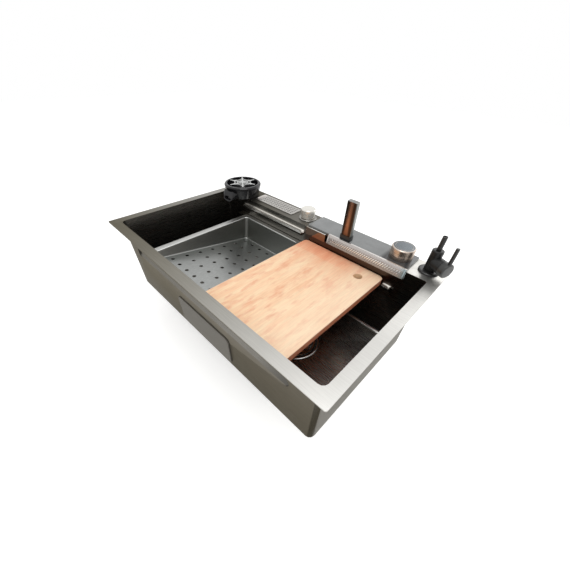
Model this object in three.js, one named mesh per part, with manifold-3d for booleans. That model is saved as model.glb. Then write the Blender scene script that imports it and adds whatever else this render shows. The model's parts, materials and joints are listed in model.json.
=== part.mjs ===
// Workstation kitchen sink: one bowl with two pairs of ledges, a rear deck that carries a waterfall
// and rain outlet, a lift-up tap column, a mixer knob, a drain knob, a cup rinser, a slotted grate
// and a filtered-water tap, and in the bowl a cutting board, a sloped colander and a basket strainer.
// Millimetres, +Z up, +X to the right along the front, +Y towards the rear deck.
// The origin is the middle of the rim, on the plane of the worktop that the rim lies on.
import * as THREE from 'three';
import { mergeVertices } from 'three/addons/utils/BufferGeometryUtils.js';
import Module from 'manifold-3d';

const wasm = await Module();
wasm.setup();

// ---- Driving dimensions -------------------------------------------------------------------------

// Sheet metal
const sinkLength = 750;
const sinkDepth = 460;
const sideRim = 24;
const frontRim = 25;
const deckDepth = 75;
const rimThickness = 3;
const rimCorner = 4;
const wall = 1.5;
const bowlDepth = 204;
const bowlCorner = 12;
const rearCorner = 5;
const floorBend = 10;
const floorFall = 3.5;
const gap = 0.3;

// Lines that the pieces are set out from
const leftEnd = -sinkLength / 2;
const rightEnd = sinkLength / 2;
const bowl = {
  left: leftEnd + sideRim,
  right: rightEnd - sideRim,
  front: -sinkDepth / 2 + frontRim,
  rear: sinkDepth / 2 - deckDepth,
};
const deckMiddle = sinkDepth / 2 - deckDepth / 2;
const fromLeft = { rinser: 85, grate: 146 };
const fromRight = { tap: 39.5, rainBar: 73, panel: 75, housing: 79, mixer: 109.5 };
const inBowl = { lowLedgeLeft: 51, lowLedgeRight: 63, highLedgeLeft: 87, colanderLeft: 94 };
const frontOfWall = { outlet: 5, rainBarTop: 3.5, rainBarFoot: 9.5 };
const behindWall = { outlets: 2.5, panel: 3.2, housing: 8, column: 13.5, rinser: 16, rinserShank: 24 };
const offMiddle = {
  grateFront: 20.5, grateRear: 26.5, drainKnob: 2.5, mixer: 4.5, tap: 5, panelRear: 35.5,
  housingRear: 19.5, inlets: -2.5,
};
const deckTop = rimThickness;
const floorZ = -bowlDepth;

// Pressed ledges on the front and rear walls
const ledgeReach = 10;
const lowLedge = {
  left: bowl.left + inBowl.lowLedgeLeft, right: bowl.right - inBowl.lowLedgeRight,
  top: -52, height: 28, lip: 9,
};
const highLedge = {
  left: bowl.left + inBowl.highLedgeLeft, right: -4, top: -15, height: 18, lip: 6,
};

// Basket strainer and waste
const drain = { x: 151, y: -29, seatRadius: 70, seatDepth: 2.5, holeRadius: 57 };
const strainer = { flangeRadius: 66, flangeThickness: 2, neckRadius: 56, skin: 1.5, depth: 30 };
const waste = { spigotRadius: 22, bore: 19.5, spigotLength: 26, tailLength: 42, tubeRadius: 19 };
const basket = {
  radius: 49, sheet: 1.2, seal: 3, sealRadius: 26, postRadius: 6, knobRadius: 13, pinRadius: 4,
};

// Board and colander, which stand on the low ledges
const slideGap = 2;
const board = { left: 10.5, length: 250, thickness: 17.5, corner: 12, chamfer: 1.5 };
const fingerHole = { fromRight: 47.5, fromRear: 42, radius: 11 };
const colander = {
  left: bowl.left + inBowl.colanderLeft, right: 7, flangeSide: 17, flangeEnd: 14, sheet: 1.2, corner: 12,
  frontDepth: 19, rearDepth: 73, draftSide: 4, draftRear: 11,
};
const colanderHoles = { columns: 6, rows: 7, sideMargin: 41, frontMargin: 53, rearMargin: 47, radius: 5 };

// Grate over its drip tray
const grate = {
  left: leftEnd + fromLeft.grate, right: -70,
  front: deckMiddle - offMiddle.grateFront, rear: deckMiddle + offMiddle.grateRear,
  thickness: 2, seat: 5.5, corner: 3,
};
const grateSlots = {
  columns: 12, rows: 5, length: 7.5, width: 2.8, marginLeft: 20.7, marginRight: 10.7, marginY: 8.7,
};
const tray = { depth: 18, skin: 1.2, spoutRadius: 7, spoutLength: 14, spoutInset: 24 };

// Cup rinser: a dish with a pouring nose that reaches over the bowl
const rinser = {
  x: leftEnd + fromLeft.rinser, y: bowl.rear + behindWall.rinser,
  topRadius: 59, footRadius: 51, height: 36, rim: 9, floor: 9, bossHeight: 19,
  shankY: bowl.rear + behindWall.rinserShank, shankRadius: 10, shankBore: 5, shankLength: 58,
};
const nose = { reach: 61, half: 21, rootHalf: 38, drop: 5.5, chamfer: 11, channelHalf: 11 };
const star = {
  reach: 45, armWidth: 4.2, thickness: 3, hubRadius: 8, stemRadius: 4.5, stemFoot: 14, turn: 22,
};
const starWebs = [{ centre: 48.1, radius: 24.1 }, { centre: 30, radius: 15 }];

// Round knobs
const drainKnob = {
  x: -24.5, y: deckMiddle + offMiddle.drainKnob,
  radius: 21.4, height: 24.5, baseRadius: 26, baseHeight: 3,
};
const drainShaft = { radius: 4, sleeveRadius: 9, sleeveLength: 28 };
const mixer = {
  x: rightEnd - fromRight.mixer, y: deckMiddle + offMiddle.mixer, radius: 27.3, height: 27.5,
  neckRadius: 12, bodyRadius: 16, bodyLength: 30, stemRadius: 4.5, stemHeight: 16, nutAcross: 32,
};

// Glass panel with the outlets along its front edge
const panel = {
  left: 8, right: rightEnd - fromRight.panel,
  front: bowl.rear + behindWall.panel, rear: deckMiddle + offMiddle.panelRear,
  thickness: 4, gasket: 0.8, corner: 3,
};
const rainBar = {
  left: 84, right: rightEnd - fromRight.rainBar, top: 9.5, bottom: -14,
  front: bowl.rear - frontOfWall.rainBarFoot, topFront: bowl.rear - frontOfWall.rainBarTop,
  rear: bowl.rear + behindWall.outlets, cap: 4,
};
const rainSlots = { count: 32, length: 8, width: 2.4, slant: 0.6, margin: 14 };
const outlet = {
  left: 9, right: 75, top: 4.5, bottom: -17,
  front: bowl.rear - frontOfWall.outlet, rear: bowl.rear + behindWall.outlets, slit: 2.4,
};
const housing = {
  left: 12, right: rightEnd - fromRight.housing,
  front: bowl.rear + behindWall.housing, rear: deckMiddle + offMiddle.housingRear, depth: 36,
};
const inlet = {
  coldX: 205, hotX: 60, y: deckMiddle + offMiddle.inlets, radius: 10, bore: 6.5, length: 26,
};

// Lift-up column
const column = {
  x: 128, y: bowl.rear + behindWall.column,
  width: 28, depth: 14, corner: 2.5, bore: 4.5, top: 105, engaged: 112,
};
const collar = { skin: 1.2, height: 12 };
const guide = { skin: 2, below: 14, stopThickness: 6 };

// Filtered-water tap
const tap = {
  x: rightEnd - fromRight.tap, y: deckMiddle + offMiddle.tap,
  flangeRadius: 23, flangeHeight: 4, radius: 12.5, top: 57,
  spoutRadius: 5.2, spoutTop: 88, shankRadius: 8, shankBore: 3.2, shankLength: 56,
};
const valve = { height: 28, radius: 15.5, capRadius: 16.5, bodyEnd: 27, capEnd: 42, turn: -24 };
const lever = { radius: 3.9, top: 81, along: 37 };

// Overflow on the right wall
const overflow = { y: -25, z: -46, coverRadius: 20, neckRadius: 13, coverThickness: 4, slots: 5 };
const overflowBox = { radius: 22, depth: 12, skin: 2, spigotRadius: 6, spigotBore: 4.6, spigotEnd: 44 };

// Sound pads and sealing tape
const pad = { thickness: 3, top: -100, aboveFloor: 18, corner: 10 };
const padSpans = {
  front: [-98, 108],
  rear: [-160, 60],
  left: [-125, 75],
};
const tape = { width: 10, inset: 3, thickness: 1.6 };

const roundSteps = 24;
const knobSteps = 28;
const wasteSteps = 16;
const holeSteps = 6;
const smallSteps = 14;
const cornerSteps = 3;

// ---- Heights worked out from them ---------------------------------------------------------------

const seatZ = floorZ - floorFall - drain.seatDepth;
const ledgeSeat = lowLedge.top + gap;
const ringThread = 0.4;

// ---- Solids from three.js geometry --------------------------------------------------------------

function signedVolume(positions, triangles) {
  const a = new THREE.Vector3();
  const b = new THREE.Vector3();
  const c = new THREE.Vector3();
  let volume = 0;
  for (let i = 0; i < triangles.length; i += 3) {
    a.fromArray(positions, 3 * triangles[i]);
    b.fromArray(positions, 3 * triangles[i + 1]);
    c.fromArray(positions, 3 * triangles[i + 2]);
    volume += a.dot(b.cross(c)) / 6;
  }
  return volume;
}

function toSolid(geometry) {
  const bare = geometry.clone();
  bare.deleteAttribute('normal');
  bare.deleteAttribute('uv');
  const merged = mergeVertices(bare, 1e-4);
  const positions = merged.attributes.position.array;
  const index = merged.index.array;
  const triangles = [];
  for (let i = 0; i < index.length; i += 3) {
    const [a, b, c] = [index[i], index[i + 1], index[i + 2]];
    if (a !== b && b !== c && c !== a) {
      triangles.push(a, b, c);
    }
  }
  if (signedVolume(positions, triangles) < 0) {
    triangles.reverse();
  }
  const mesh = new wasm.Mesh({
    numProp: 3,
    vertProperties: new Float32Array(positions),
    triVerts: new Uint32Array(triangles),
  });
  return new wasm.Manifold(mesh);
}

function toGeometry(solid) {
  const mesh = solid.getMesh();
  const geometry = new THREE.BufferGeometry();
  geometry.setAttribute('position', new THREE.BufferAttribute(new Float32Array(mesh.vertProperties), 3));
  geometry.setIndex(new THREE.BufferAttribute(new Uint32Array(mesh.triVerts), 1));
  geometry.computeVertexNormals();
  return geometry;
}

function union(...solids) {
  return solids.reduce((sum, solid) => sum.add(solid));
}

function box(x0, x1, y0, y1, z0, z1) {
  const geometry = new THREE.BoxGeometry(x1 - x0, y1 - y0, z1 - z0);
  geometry.translate((x0 + x1) / 2, (y0 + y1) / 2, (z0 + z1) / 2);
  return toSolid(geometry);
}

// A rounded rectangle as a list of points, anticlockwise, with corners of its own at the high-Y end
function outline(x0, x1, y0, y1, radius, steps = cornerSteps, highRadius = radius) {
  const corners = [
    [x1 - radius, y0 + radius, radius],
    [x1 - highRadius, y1 - highRadius, highRadius],
    [x0 + highRadius, y1 - highRadius, highRadius],
    [x0 + radius, y0 + radius, radius],
  ];
  const points = [];
  corners.forEach(([cx, cy, r], corner) => {
    for (let i = 0; i <= steps; i += 1) {
      const angle = (Math.PI / 2) * (corner - 1 + i / steps);
      points.push(new THREE.Vector2(cx + r * Math.cos(angle), cy + r * Math.sin(angle)));
    }
  });
  return points;
}

function extrude(points, depth) {
  return new THREE.ExtrudeGeometry(new THREE.Shape(points), { depth, bevelEnabled: false });
}

function prismZ(points, z0, z1) {
  return toSolid(extrude(points, z1 - z0).translate(0, 0, z0));
}

// The points are (y, z) and the prism runs along X
function prismX(points, x0, x1) {
  const turn = new THREE.Matrix4().makeBasis(
    new THREE.Vector3(0, 1, 0),
    new THREE.Vector3(0, 0, 1),
    new THREE.Vector3(1, 0, 0),
  );
  return toSolid(extrude(points, x1 - x0).applyMatrix4(turn).translate(x0, 0, 0));
}

// The points are (x, z) and the prism runs along Y
function prismY(points, y0, y1) {
  return toSolid(extrude(points, y1 - y0).rotateX(Math.PI / 2).translate(0, y1, 0));
}

// A body of revolution about a vertical axis: the profile is a list of (radius, z)
function turned(profile, steps = roundSteps, x = 0, y = 0) {
  const points = profile.map(([radius, z]) => new THREE.Vector2(radius, z));
  return toSolid(new THREE.LatheGeometry(points, steps).rotateX(Math.PI / 2).translate(x, y, 0));
}

function rod(x, y, radius, z0, z1, steps = smallSteps) {
  return turned([[0, z0], [radius, z0], [radius, z1], [0, z1]], steps, x, y);
}

function ring(x, y, inner, outer, z0, z1, steps = roundSteps) {
  return turned([[inner, z0], [outer, z0], [outer, z1], [inner, z1], [inner, z0]], steps, x, y);
}

function hexNut(x, y, bore, across, z0, z1) {
  const corner = across / Math.sqrt(3);
  const hexagon = turned([[0, z0], [corner, z0], [corner, z1], [0, z1]], 6, x, y);
  return hexagon.subtract(rod(x, y, bore, z0 - 1, z1 + 1));
}

// A closed skin over rings that have the same number of points, listed from the lowest up
function loft(rings, lowPoint, highPoint) {
  const points = rings.flat();
  const count = rings[0].length;
  const low = points.length;
  const high = low + 1;
  const index = [];
  for (let i = 0; i < count; i += 1) {
    const next = (i + 1) % count;
    for (let k = 0; k + 1 < rings.length; k += 1) {
      const a = k * count + i;
      const b = k * count + next;
      index.push(a, b, b + count, a, b + count, a + count);
    }
    const top = (rings.length - 1) * count;
    index.push(low, next, i, high, top + i, top + next);
  }
  const geometry = new THREE.BufferGeometry().setFromPoints([...points, lowPoint, highPoint]);
  geometry.setIndex(index);
  return toSolid(geometry);
}

function at(points, heightOf) {
  return points.map((p) => new THREE.Vector3(p.x, p.y, heightOf(p)));
}

// ---- Materials ----------------------------------------------------------------------------------

function finish(color, roughness, metalness) {
  return new THREE.MeshStandardMaterial({ color, roughness, metalness });
}

const finishes = {
  bowlSteel: () => finish(0x8c877e, 0.38, 1),
  darkSteel: () => finish(0x6e726f, 0.42, 1),
  polished: () => finish(0xcfccc4, 0.12, 1),
  barSteel: () => finish(0xb9aeab, 0.28, 1),
  knobSteel: () => finish(0x8d9499, 0.25, 1),
  mirrorDark: () => finish(0x4a4340, 0.06, 1),
  blackGlass: () => finish(0x1b1d1e, 0.05, 0),
  blackPaint: () => finish(0x1c1d1c, 0.3, 0.4),
  blackPlastic: () => finish(0x232424, 0.5, 0),
  greyPlastic: () => finish(0x9a9c9b, 0.55, 0),
  brass: () => finish(0xb59a5b, 0.35, 1),
  rubber: () => finish(0x2b2b2a, 0.85, 0),
  padGrey: () => finish(0x7a756e, 0.8, 0),
  wood: () => finish(0xe2a273, 0.55, 0),
};

const sink = new THREE.Group();

function place(name, solid, material, parent = sink) {
  const mesh = new THREE.Mesh(toGeometry(solid), material);
  mesh.name = name;
  parent.add(mesh);
}

// ---- Bowl ---------------------------------------------------------------------------------------

function tubLine(grow) {
  return outline(
    bowl.left - grow,
    bowl.right + grow,
    bowl.front - grow,
    bowl.rear + grow,
    Math.max(bowlCorner + grow, 1),
    cornerSteps,
    Math.max(rearCorner + grow, 1),
  );
}

// The bowl's space, or with grow set to the wall, the outside of the tub round it
function tub(grow, topZ) {
  const steps = 3;
  const rings = [];
  for (let i = 0; i <= steps; i += 1) {
    const angle = (Math.PI / 2) * (i / steps);
    const bend = floorBend + grow;
    const inset = bend * (1 - Math.sin(angle));
    const z = floorZ - grow + bend * (1 - Math.cos(angle));
    rings.push(at(tubLine(grow - inset), () => z));
  }
  rings.push(at(tubLine(grow), () => topZ));
  const low = new THREE.Vector3(drain.x, drain.y, floorZ - grow - floorFall);
  const high = new THREE.Vector3(drain.x, drain.y, topZ);
  return loft(rings, low, high);
}

// A ledge as the wall presses it inwards, or with shrink set to the wall, the groove behind it
function ledge(shape, isRear, shrink) {
  const inwards = isRear ? -1 : 1;
  const face = isRear ? bowl.rear : bowl.front;
  const top = shape.top - shrink;
  const bottom = shape.top - shape.height + shrink;
  const y = (depth) => face + inwards * depth;
  const section = [
    new THREE.Vector2(y(-5), top),
    new THREE.Vector2(y(ledgeReach - shrink), top),
    new THREE.Vector2(y(ledgeReach - shrink), shape.top - shape.lip),
    new THREE.Vector2(y(-shrink), bottom),
    new THREE.Vector2(y(-5), bottom),
  ];
  const radius = (top - bottom) / 2 - 0.01;
  const front = outline(shape.left + shrink, shape.right - shrink, bottom, top, radius, 4);
  const bar = prismX(section, shape.left, shape.right);
  const reach = [y(-6), y(ledgeReach + 6)].sort((a, b) => a - b);
  return bar.intersect(prismY(front, reach[0], reach[1]));
}

function makeBowl() {
  const plate = prismZ(
    outline(leftEnd, rightEnd, -sinkDepth / 2, sinkDepth / 2, rimCorner),
    0,
    rimThickness,
  );
  let outside = tub(wall, rimThickness / 2);
  let inside = tub(0, rimThickness + 1);
  outside = outside.add(rod(drain.x, drain.y, drain.seatRadius + wall, seatZ - wall, floorZ + 1, roundSteps));
  inside = inside.add(rod(drain.x, drain.y, drain.seatRadius, seatZ, floorZ + 2, roundSteps));
  for (const isRear of [false, true]) {
    for (const shape of [lowLedge, highLedge]) {
      inside = inside.subtract(ledge(shape, isRear, 0));
      outside = outside.subtract(ledge(shape, isRear, wall));
    }
  }
  const cuts = [
    rod(drain.x, drain.y, drain.holeRadius, seatZ - wall - 1, seatZ + 1, roundSteps),
    rod(rinser.x, rinser.shankY, rinser.shankRadius + 1, -1, deckTop + 1),
    rod(drainKnob.x, drainKnob.y, drainShaft.sleeveRadius + 0.5, -1, deckTop + 1),
    rod(tap.x, tap.y, tap.shankRadius + 1, -1, deckTop + 1),
    rod(mixer.x, mixer.y, mixer.neckRadius + 0.5, -1, deckTop + 1),
    prismZ(columnLine(guide.skin + 2 * gap), -1, deckTop + 1),
    box(
      grate.left + grate.seat,
      grate.right - grate.seat,
      grate.front + grate.seat,
      grate.rear - grate.seat,
      -1,
      deckTop + 1,
    ),
    outletWindow(),
    overflowHole(),
  ];
  return cuts.reduce((sheet, cut) => sheet.subtract(cut), plate.add(outside).subtract(inside));
}

// The column's section, grown on all sides
function columnLine(grow) {
  const halfWidth = column.width / 2 + grow;
  const halfDepth = column.depth / 2 + grow;
  return outline(
    column.x - halfWidth,
    column.x + halfWidth,
    column.y - halfDepth,
    column.y + halfDepth,
    column.corner,
  );
}

// The notch in the deck's front edge and in the rear wall for the two outlets
function outletWindow() {
  return box(
    outlet.left - gap,
    rainBar.right + gap,
    bowl.rear - 1,
    outlet.rear + gap,
    Math.min(outlet.bottom, rainBar.bottom) - gap,
    deckTop + 1,
  );
}

function overflowHole() {
  const hole = rod(0, 0, overflow.neckRadius + 0.5, -wall - 1, 1);
  return hole.rotate([0, -90, 0]).translate([bowl.right, overflow.y, overflow.z]);
}

place('sink_bowl', makeBowl(), finishes.bowlSteel());

// ---- Sealing tape and sound pads ----------------------------------------------------------------

function makeTape() {
  const band = (inset, z0, z1) => prismZ(
    outline(
      leftEnd + inset,
      rightEnd - inset,
      -sinkDepth / 2 + inset,
      sinkDepth / 2 - inset,
      rimCorner,
    ),
    z0,
    z1,
  );
  const outside = band(tape.inset, -gap - tape.thickness, -gap);
  return outside.subtract(band(tape.inset + tape.width, -gap - tape.thickness - 1, 1));
}

function padLine([from, to]) {
  return outline(from, to, floorZ + pad.aboveFloor, pad.top, pad.corner);
}

const padOut = wall + gap;
const padReach = padOut + pad.thickness;
place('rim_sealing_tape', makeTape(), finishes.rubber());
place(
  'sound_pad_front',
  prismY(padLine(padSpans.front), bowl.front - padReach, bowl.front - padOut),
  finishes.padGrey(),
);
place(
  'sound_pad_rear',
  prismY(padLine(padSpans.rear), bowl.rear + padOut, bowl.rear + padReach),
  finishes.padGrey(),
);
place(
  'sound_pad_left',
  prismX(padLine(padSpans.left), bowl.left - padReach, bowl.left - padOut),
  finishes.padGrey(),
);

// ---- Basket strainer and waste ------------------------------------------------------------------

const flangeZ = seatZ + gap;
const cupFloorZ = flangeZ - strainer.depth;
const spigotEndZ = cupFloorZ - waste.spigotLength;
const gasketTopZ = seatZ - wall - gap;
const gasketThickness = 2.5;
const nutHeight = 12;

function makeStrainerBody() {
  const bore = strainer.neckRadius - strainer.skin;
  return turned([
    [waste.bore, spigotEndZ],
    [waste.spigotRadius, spigotEndZ],
    [waste.spigotRadius, cupFloorZ - 2],
    [bore - 10, cupFloorZ],
    [strainer.neckRadius, cupFloorZ + 10],
    [strainer.neckRadius, flangeZ],
    [strainer.flangeRadius, flangeZ],
    [strainer.flangeRadius, flangeZ + 0.8],
    [strainer.flangeRadius - 1.5, flangeZ + strainer.flangeThickness],
    [bore + 3, flangeZ + strainer.flangeThickness],
    [bore, flangeZ - 1],
    [bore, cupFloorZ + 11],
    [bore - 10, cupFloorZ + strainer.skin],
    [waste.bore, cupFloorZ + strainer.skin],
    [waste.bore, spigotEndZ],
  ], roundSteps, drain.x, drain.y);
}

const sealZ = cupFloorZ + strainer.skin + gap;
const basketFloorZ = sealZ + basket.seal + gap;
const basketTopZ = flangeZ - 0.5;
const guideTopZ = cupFloorZ - 6;
const guideHeight = 8;

function makeBasket() {
  const mouth = strainer.neckRadius - strainer.skin - 1;
  let cup = turned([
    [0, guideTopZ - guideHeight - 4],
    [basket.pinRadius, guideTopZ - guideHeight - 4],
    [basket.pinRadius, basketFloorZ],
    [basket.radius - 9, basketFloorZ],
    [basket.radius, basketFloorZ + 10],
    [basket.radius, basketTopZ - 1.5],
    [mouth, basketTopZ - 1.5],
    [mouth, basketTopZ],
    [basket.radius - basket.sheet, basketTopZ],
    [basket.radius - basket.sheet, basketFloorZ + 10.5],
    [basket.radius - 9.5, basketFloorZ + basket.sheet],
    [basket.postRadius, basketFloorZ + basket.sheet],
    [basket.postRadius, basketTopZ - 5],
    [basket.knobRadius, basketTopZ - 3],
    [basket.knobRadius, basketTopZ + 1],
    [basket.knobRadius - 3, basketTopZ + 2.5],
    [0, basketTopZ + 2.5],
  ], wasteSteps, drain.x, drain.y);
  const holes = 12;
  for (let i = 0; i < holes; i += 1) {
    const angle = (2 * Math.PI * (i + 0.5)) / holes;
    const radius = (basket.sealRadius + basket.radius - 9) / 2;
    const x = drain.x + radius * Math.cos(angle);
    const y = drain.y + radius * Math.sin(angle);
    cup = cup.subtract(rod(x, y, 3.5, basketFloorZ - 1, basketFloorZ + 3, holeSteps));
  }
  return cup;
}

function makeBasketSeal() {
  const inner = basket.pinRadius + ringThread;
  return ring(drain.x, drain.y, inner, basket.sealRadius, sealZ, sealZ + basket.seal, roundSteps);
}

// A spider in the outlet that keeps the basket's pin upright
function makePinGuide() {
  const z0 = guideTopZ - guideHeight;
  const rim = ring(drain.x, drain.y, waste.bore - 3, waste.bore - gap, z0, guideTopZ, wasteSteps);
  const hub = ring(drain.x, drain.y, basket.pinRadius + gap, basket.pinRadius + 3, z0, guideTopZ, smallSteps);
  let spider = rim.add(hub);
  for (let i = 0; i < 3; i += 1) {
    const spoke = box(basket.pinRadius + 1.5, waste.bore - 2, -1.2, 1.2, z0, guideTopZ - 2);
    spider = spider.add(spoke.rotate([0, 0, 120 * i]).translate([drain.x, drain.y, 0]));
  }
  return spider;
}

function makeTailpiece() {
  const top = spigotEndZ - gap;
  const inner = waste.tubeRadius - 2;
  const pipe = turned([
    [inner, top - waste.tailLength],
    [waste.tubeRadius, top - waste.tailLength],
    [waste.tubeRadius, top - 2],
    [waste.spigotRadius - 0.5, top - 2],
    [waste.spigotRadius - 0.5, top],
    [inner, top],
    [inner, top - waste.tailLength],
  ], wasteSteps, drain.x, drain.y);
  const portZ = top - waste.tailLength / 2 - 2;
  const level = (solid) => solid.rotate([-90, 0, 0]).translate([drain.x, drain.y, portZ]);
  const port = level(rod(0, 0, 5, waste.tubeRadius - 1, waste.tubeRadius + 12));
  const bore = level(rod(0, 0, 2.5, waste.tubeRadius - 4, waste.tubeRadius + 13, 10));
  return pipe.add(port).subtract(bore);
}

function makeWasteNut() {
  const lip = spigotEndZ - gap - 2 - gap;
  const outer = waste.spigotRadius + 6;
  return turned([
    [waste.tubeRadius + ringThread, lip - 4],
    [outer - 2, lip - 4],
    [outer, lip - 2],
    [outer, lip + 18],
    [waste.spigotRadius + ringThread, lip + 18],
    [waste.spigotRadius + ringThread, lip],
    [waste.tubeRadius + ringThread, lip],
    [waste.tubeRadius + ringThread, lip - 4],
  ], wasteSteps, drain.x, drain.y);
}

function strainerNut() {
  const top = gasketTopZ - gasketThickness - gap;
  const outer = strainer.neckRadius + 13;
  let nut = ring(drain.x, drain.y, strainer.neckRadius + ringThread, outer, top - nutHeight, top);
  const lugs = 6;
  for (let i = 0; i < lugs; i += 1) {
    const angle = (360 * i) / lugs;
    const notch = box(outer - 5, outer + 5, -8, 8, top - nutHeight - 1, top - 4);
    nut = nut.subtract(notch.rotate([0, 0, angle]).translate([drain.x, drain.y, 0]));
  }
  return nut;
}

place('strainer_body', makeStrainerBody(), finishes.polished());
place(
  'strainer_gasket',
  ring(
    drain.x,
    drain.y,
    strainer.neckRadius + ringThread,
    drain.seatRadius - 1,
    gasketTopZ - gasketThickness,
    gasketTopZ,
  ),
  finishes.rubber(),
);
place('strainer_nut', strainerNut(), finishes.blackPlastic());
place('strainer_basket', makeBasket(), finishes.polished());
place('basket_seal', makeBasketSeal(), finishes.rubber());
place('basket_pin_guide', makePinGuide(), finishes.greyPlastic());
place('waste_tailpiece', makeTailpiece(), finishes.greyPlastic());
place('waste_nut', makeWasteNut(), finishes.greyPlastic());

// ---- Overflow -----------------------------------------------------------------------------------

// Both pieces are turned about the hole's axis, with +Z of the profile pointing into the bowl
function onRightWall(solid) {
  return solid.rotate([0, -90, 0]).translate([bowl.right, overflow.y, overflow.z]);
}

function makeOverflowCover() {
  const face = gap + overflow.coverThickness;
  const neck = overflow.neckRadius - 1.5;
  let cover = turned([
    [0, -wall - 3],
    [neck, -wall - 3],
    [neck, gap],
    [overflow.coverRadius, gap],
    [overflow.coverRadius, face - 2],
    [overflow.coverRadius - 2, face],
    [0, face],
  ], wasteSteps);
  const reach = neck - 2;
  const pitch = (2 * reach) / (overflow.slots + 0.5);
  for (let i = 0; i < overflow.slots; i += 1) {
    const offset = (i - (overflow.slots - 1) / 2) * pitch;
    const half = Math.sqrt(reach ** 2 - offset ** 2) - 1;
    cover = cover.subtract(box(offset - 1.2, offset + 1.2, -half, half, -wall - 4, face + 1));
  }
  return onRightWall(cover);
}

// A flat cup behind the wall, with a spigot that points to the rear
function makeOverflowHousing() {
  const back = -wall - gap;
  const hollow = back - overflowBox.depth + overflowBox.skin;
  const mouth = overflow.neckRadius + 1;
  const cup = turned([
    [0, back - overflowBox.depth],
    [overflowBox.radius - 2, back - overflowBox.depth],
    [overflowBox.radius, back - overflowBox.depth + 2],
    [overflowBox.radius, back],
    [mouth, back],
    [mouth, hollow],
    [0, hollow],
  ], wasteSteps);
  const x = bowl.right - back + overflowBox.spigotRadius;
  const rearwards = (solid) => solid.rotate([-90, 0, 0]).translate([x, overflow.y, overflow.z]);
  const outletPipe = rearwards(
    rod(0, 0, overflowBox.spigotRadius, overflowBox.radius - 3, overflowBox.spigotEnd),
  );
  const bore = rearwards(rod(0, 0, overflowBox.spigotBore, mouth - 4, overflowBox.spigotEnd + 1));
  return onRightWall(cup).add(outletPipe).subtract(bore);
}

place('overflow_cover', makeOverflowCover(), finishes.polished());
place('overflow_housing', makeOverflowHousing(), finishes.blackPlastic());

// ---- Cutting board and colander -----------------------------------------------------------------

const slideFront = bowl.front + slideGap;
const slideRear = bowl.rear - slideGap;

function makeBoard() {
  const top = ledgeSeat + board.thickness;
  const cut = board.chamfer;
  const right = board.left + board.length;
  const level = (inset, z) => at(
    outline(board.left + inset, right - inset, slideFront + inset, slideRear - inset, board.corner - inset),
    () => z,
  );
  const middle = new THREE.Vector3(board.left + board.length / 2, (slideFront + slideRear) / 2, 0);
  const plank = loft(
    [level(cut, ledgeSeat), level(0, ledgeSeat + cut), level(0, top - cut), level(cut, top)],
    middle.clone().setZ(ledgeSeat),
    middle.clone().setZ(top),
  );
  const holeX = right - fingerHole.fromRight;
  const holeY = slideRear - fingerHole.fromRear;
  const hole = turned([
    [0, ledgeSeat - 1],
    [fingerHole.radius, ledgeSeat - 1],
    [fingerHole.radius, top - cut],
    [fingerHole.radius + cut + 1, top + 1],
    [0, top + 1],
  ], roundSteps, holeX, holeY);
  return plank.subtract(hole);
}

function colanderShell(grow, topZ) {
  const left = colander.left + colander.flangeSide - grow;
  const right = colander.right - colander.flangeSide + grow;
  const front = slideFront + colander.flangeEnd - grow;
  const rear = slideRear - colander.flangeEnd + grow;
  const side = colander.draftSide;
  const flange = ledgeSeat + colander.sheet;
  const floorAt = (p) => {
    const share = (p.y - front) / (rear - front);
    return flange - colander.frontDepth - share * (colander.rearDepth - colander.frontDepth) - grow;
  };
  const lowRear = rear - colander.draftRear;
  const low = outline(left + side, right - side, front + side, lowRear, colander.corner + grow - 3);
  const high = outline(left, right, front, rear, colander.corner + grow);
  const centre = new THREE.Vector2((left + right) / 2, (front + rear) / 2);
  return loft(
    [at(low, floorAt), at(high, () => flange - 1), at(high, () => topZ)],
    new THREE.Vector3(centre.x, centre.y, floorAt(centre)),
    new THREE.Vector3(centre.x, centre.y, topZ),
  );
}

function makeColander() {
  const flange = prismZ(
    outline(colander.left, colander.right, slideFront, slideRear, colander.corner),
    ledgeSeat,
    ledgeSeat + colander.sheet,
  );
  let shell = flange.add(colanderShell(colander.sheet, ledgeSeat + colander.sheet / 2));
  shell = shell.subtract(colanderShell(0, ledgeSeat + colander.sheet + 1));
  const deepest = ledgeSeat - colander.rearDepth - 5;
  const firstX = colander.left + colanderHoles.sideMargin;
  const firstY = slideFront + colanderHoles.frontMargin;
  const pitchX = (colander.right - colanderHoles.sideMargin - firstX) / (colanderHoles.columns - 1);
  const pitchY = (slideRear - colanderHoles.rearMargin - firstY) / (colanderHoles.rows - 1);
  for (let i = 0; i < colanderHoles.columns; i += 1) {
    for (let k = 0; k < colanderHoles.rows; k += 1) {
      const x = firstX + i * pitchX;
      const y = firstY + k * pitchY;
      shell = shell.subtract(rod(x, y, colanderHoles.radius, deepest, ledgeSeat - 2, holeSteps));
    }
  }
  return shell;
}

place('cutting_board', makeBoard(), finishes.wood());
place('colander', makeColander(), finishes.darkSteel());

// ---- Grate and drip tray ------------------------------------------------------------------------

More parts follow.
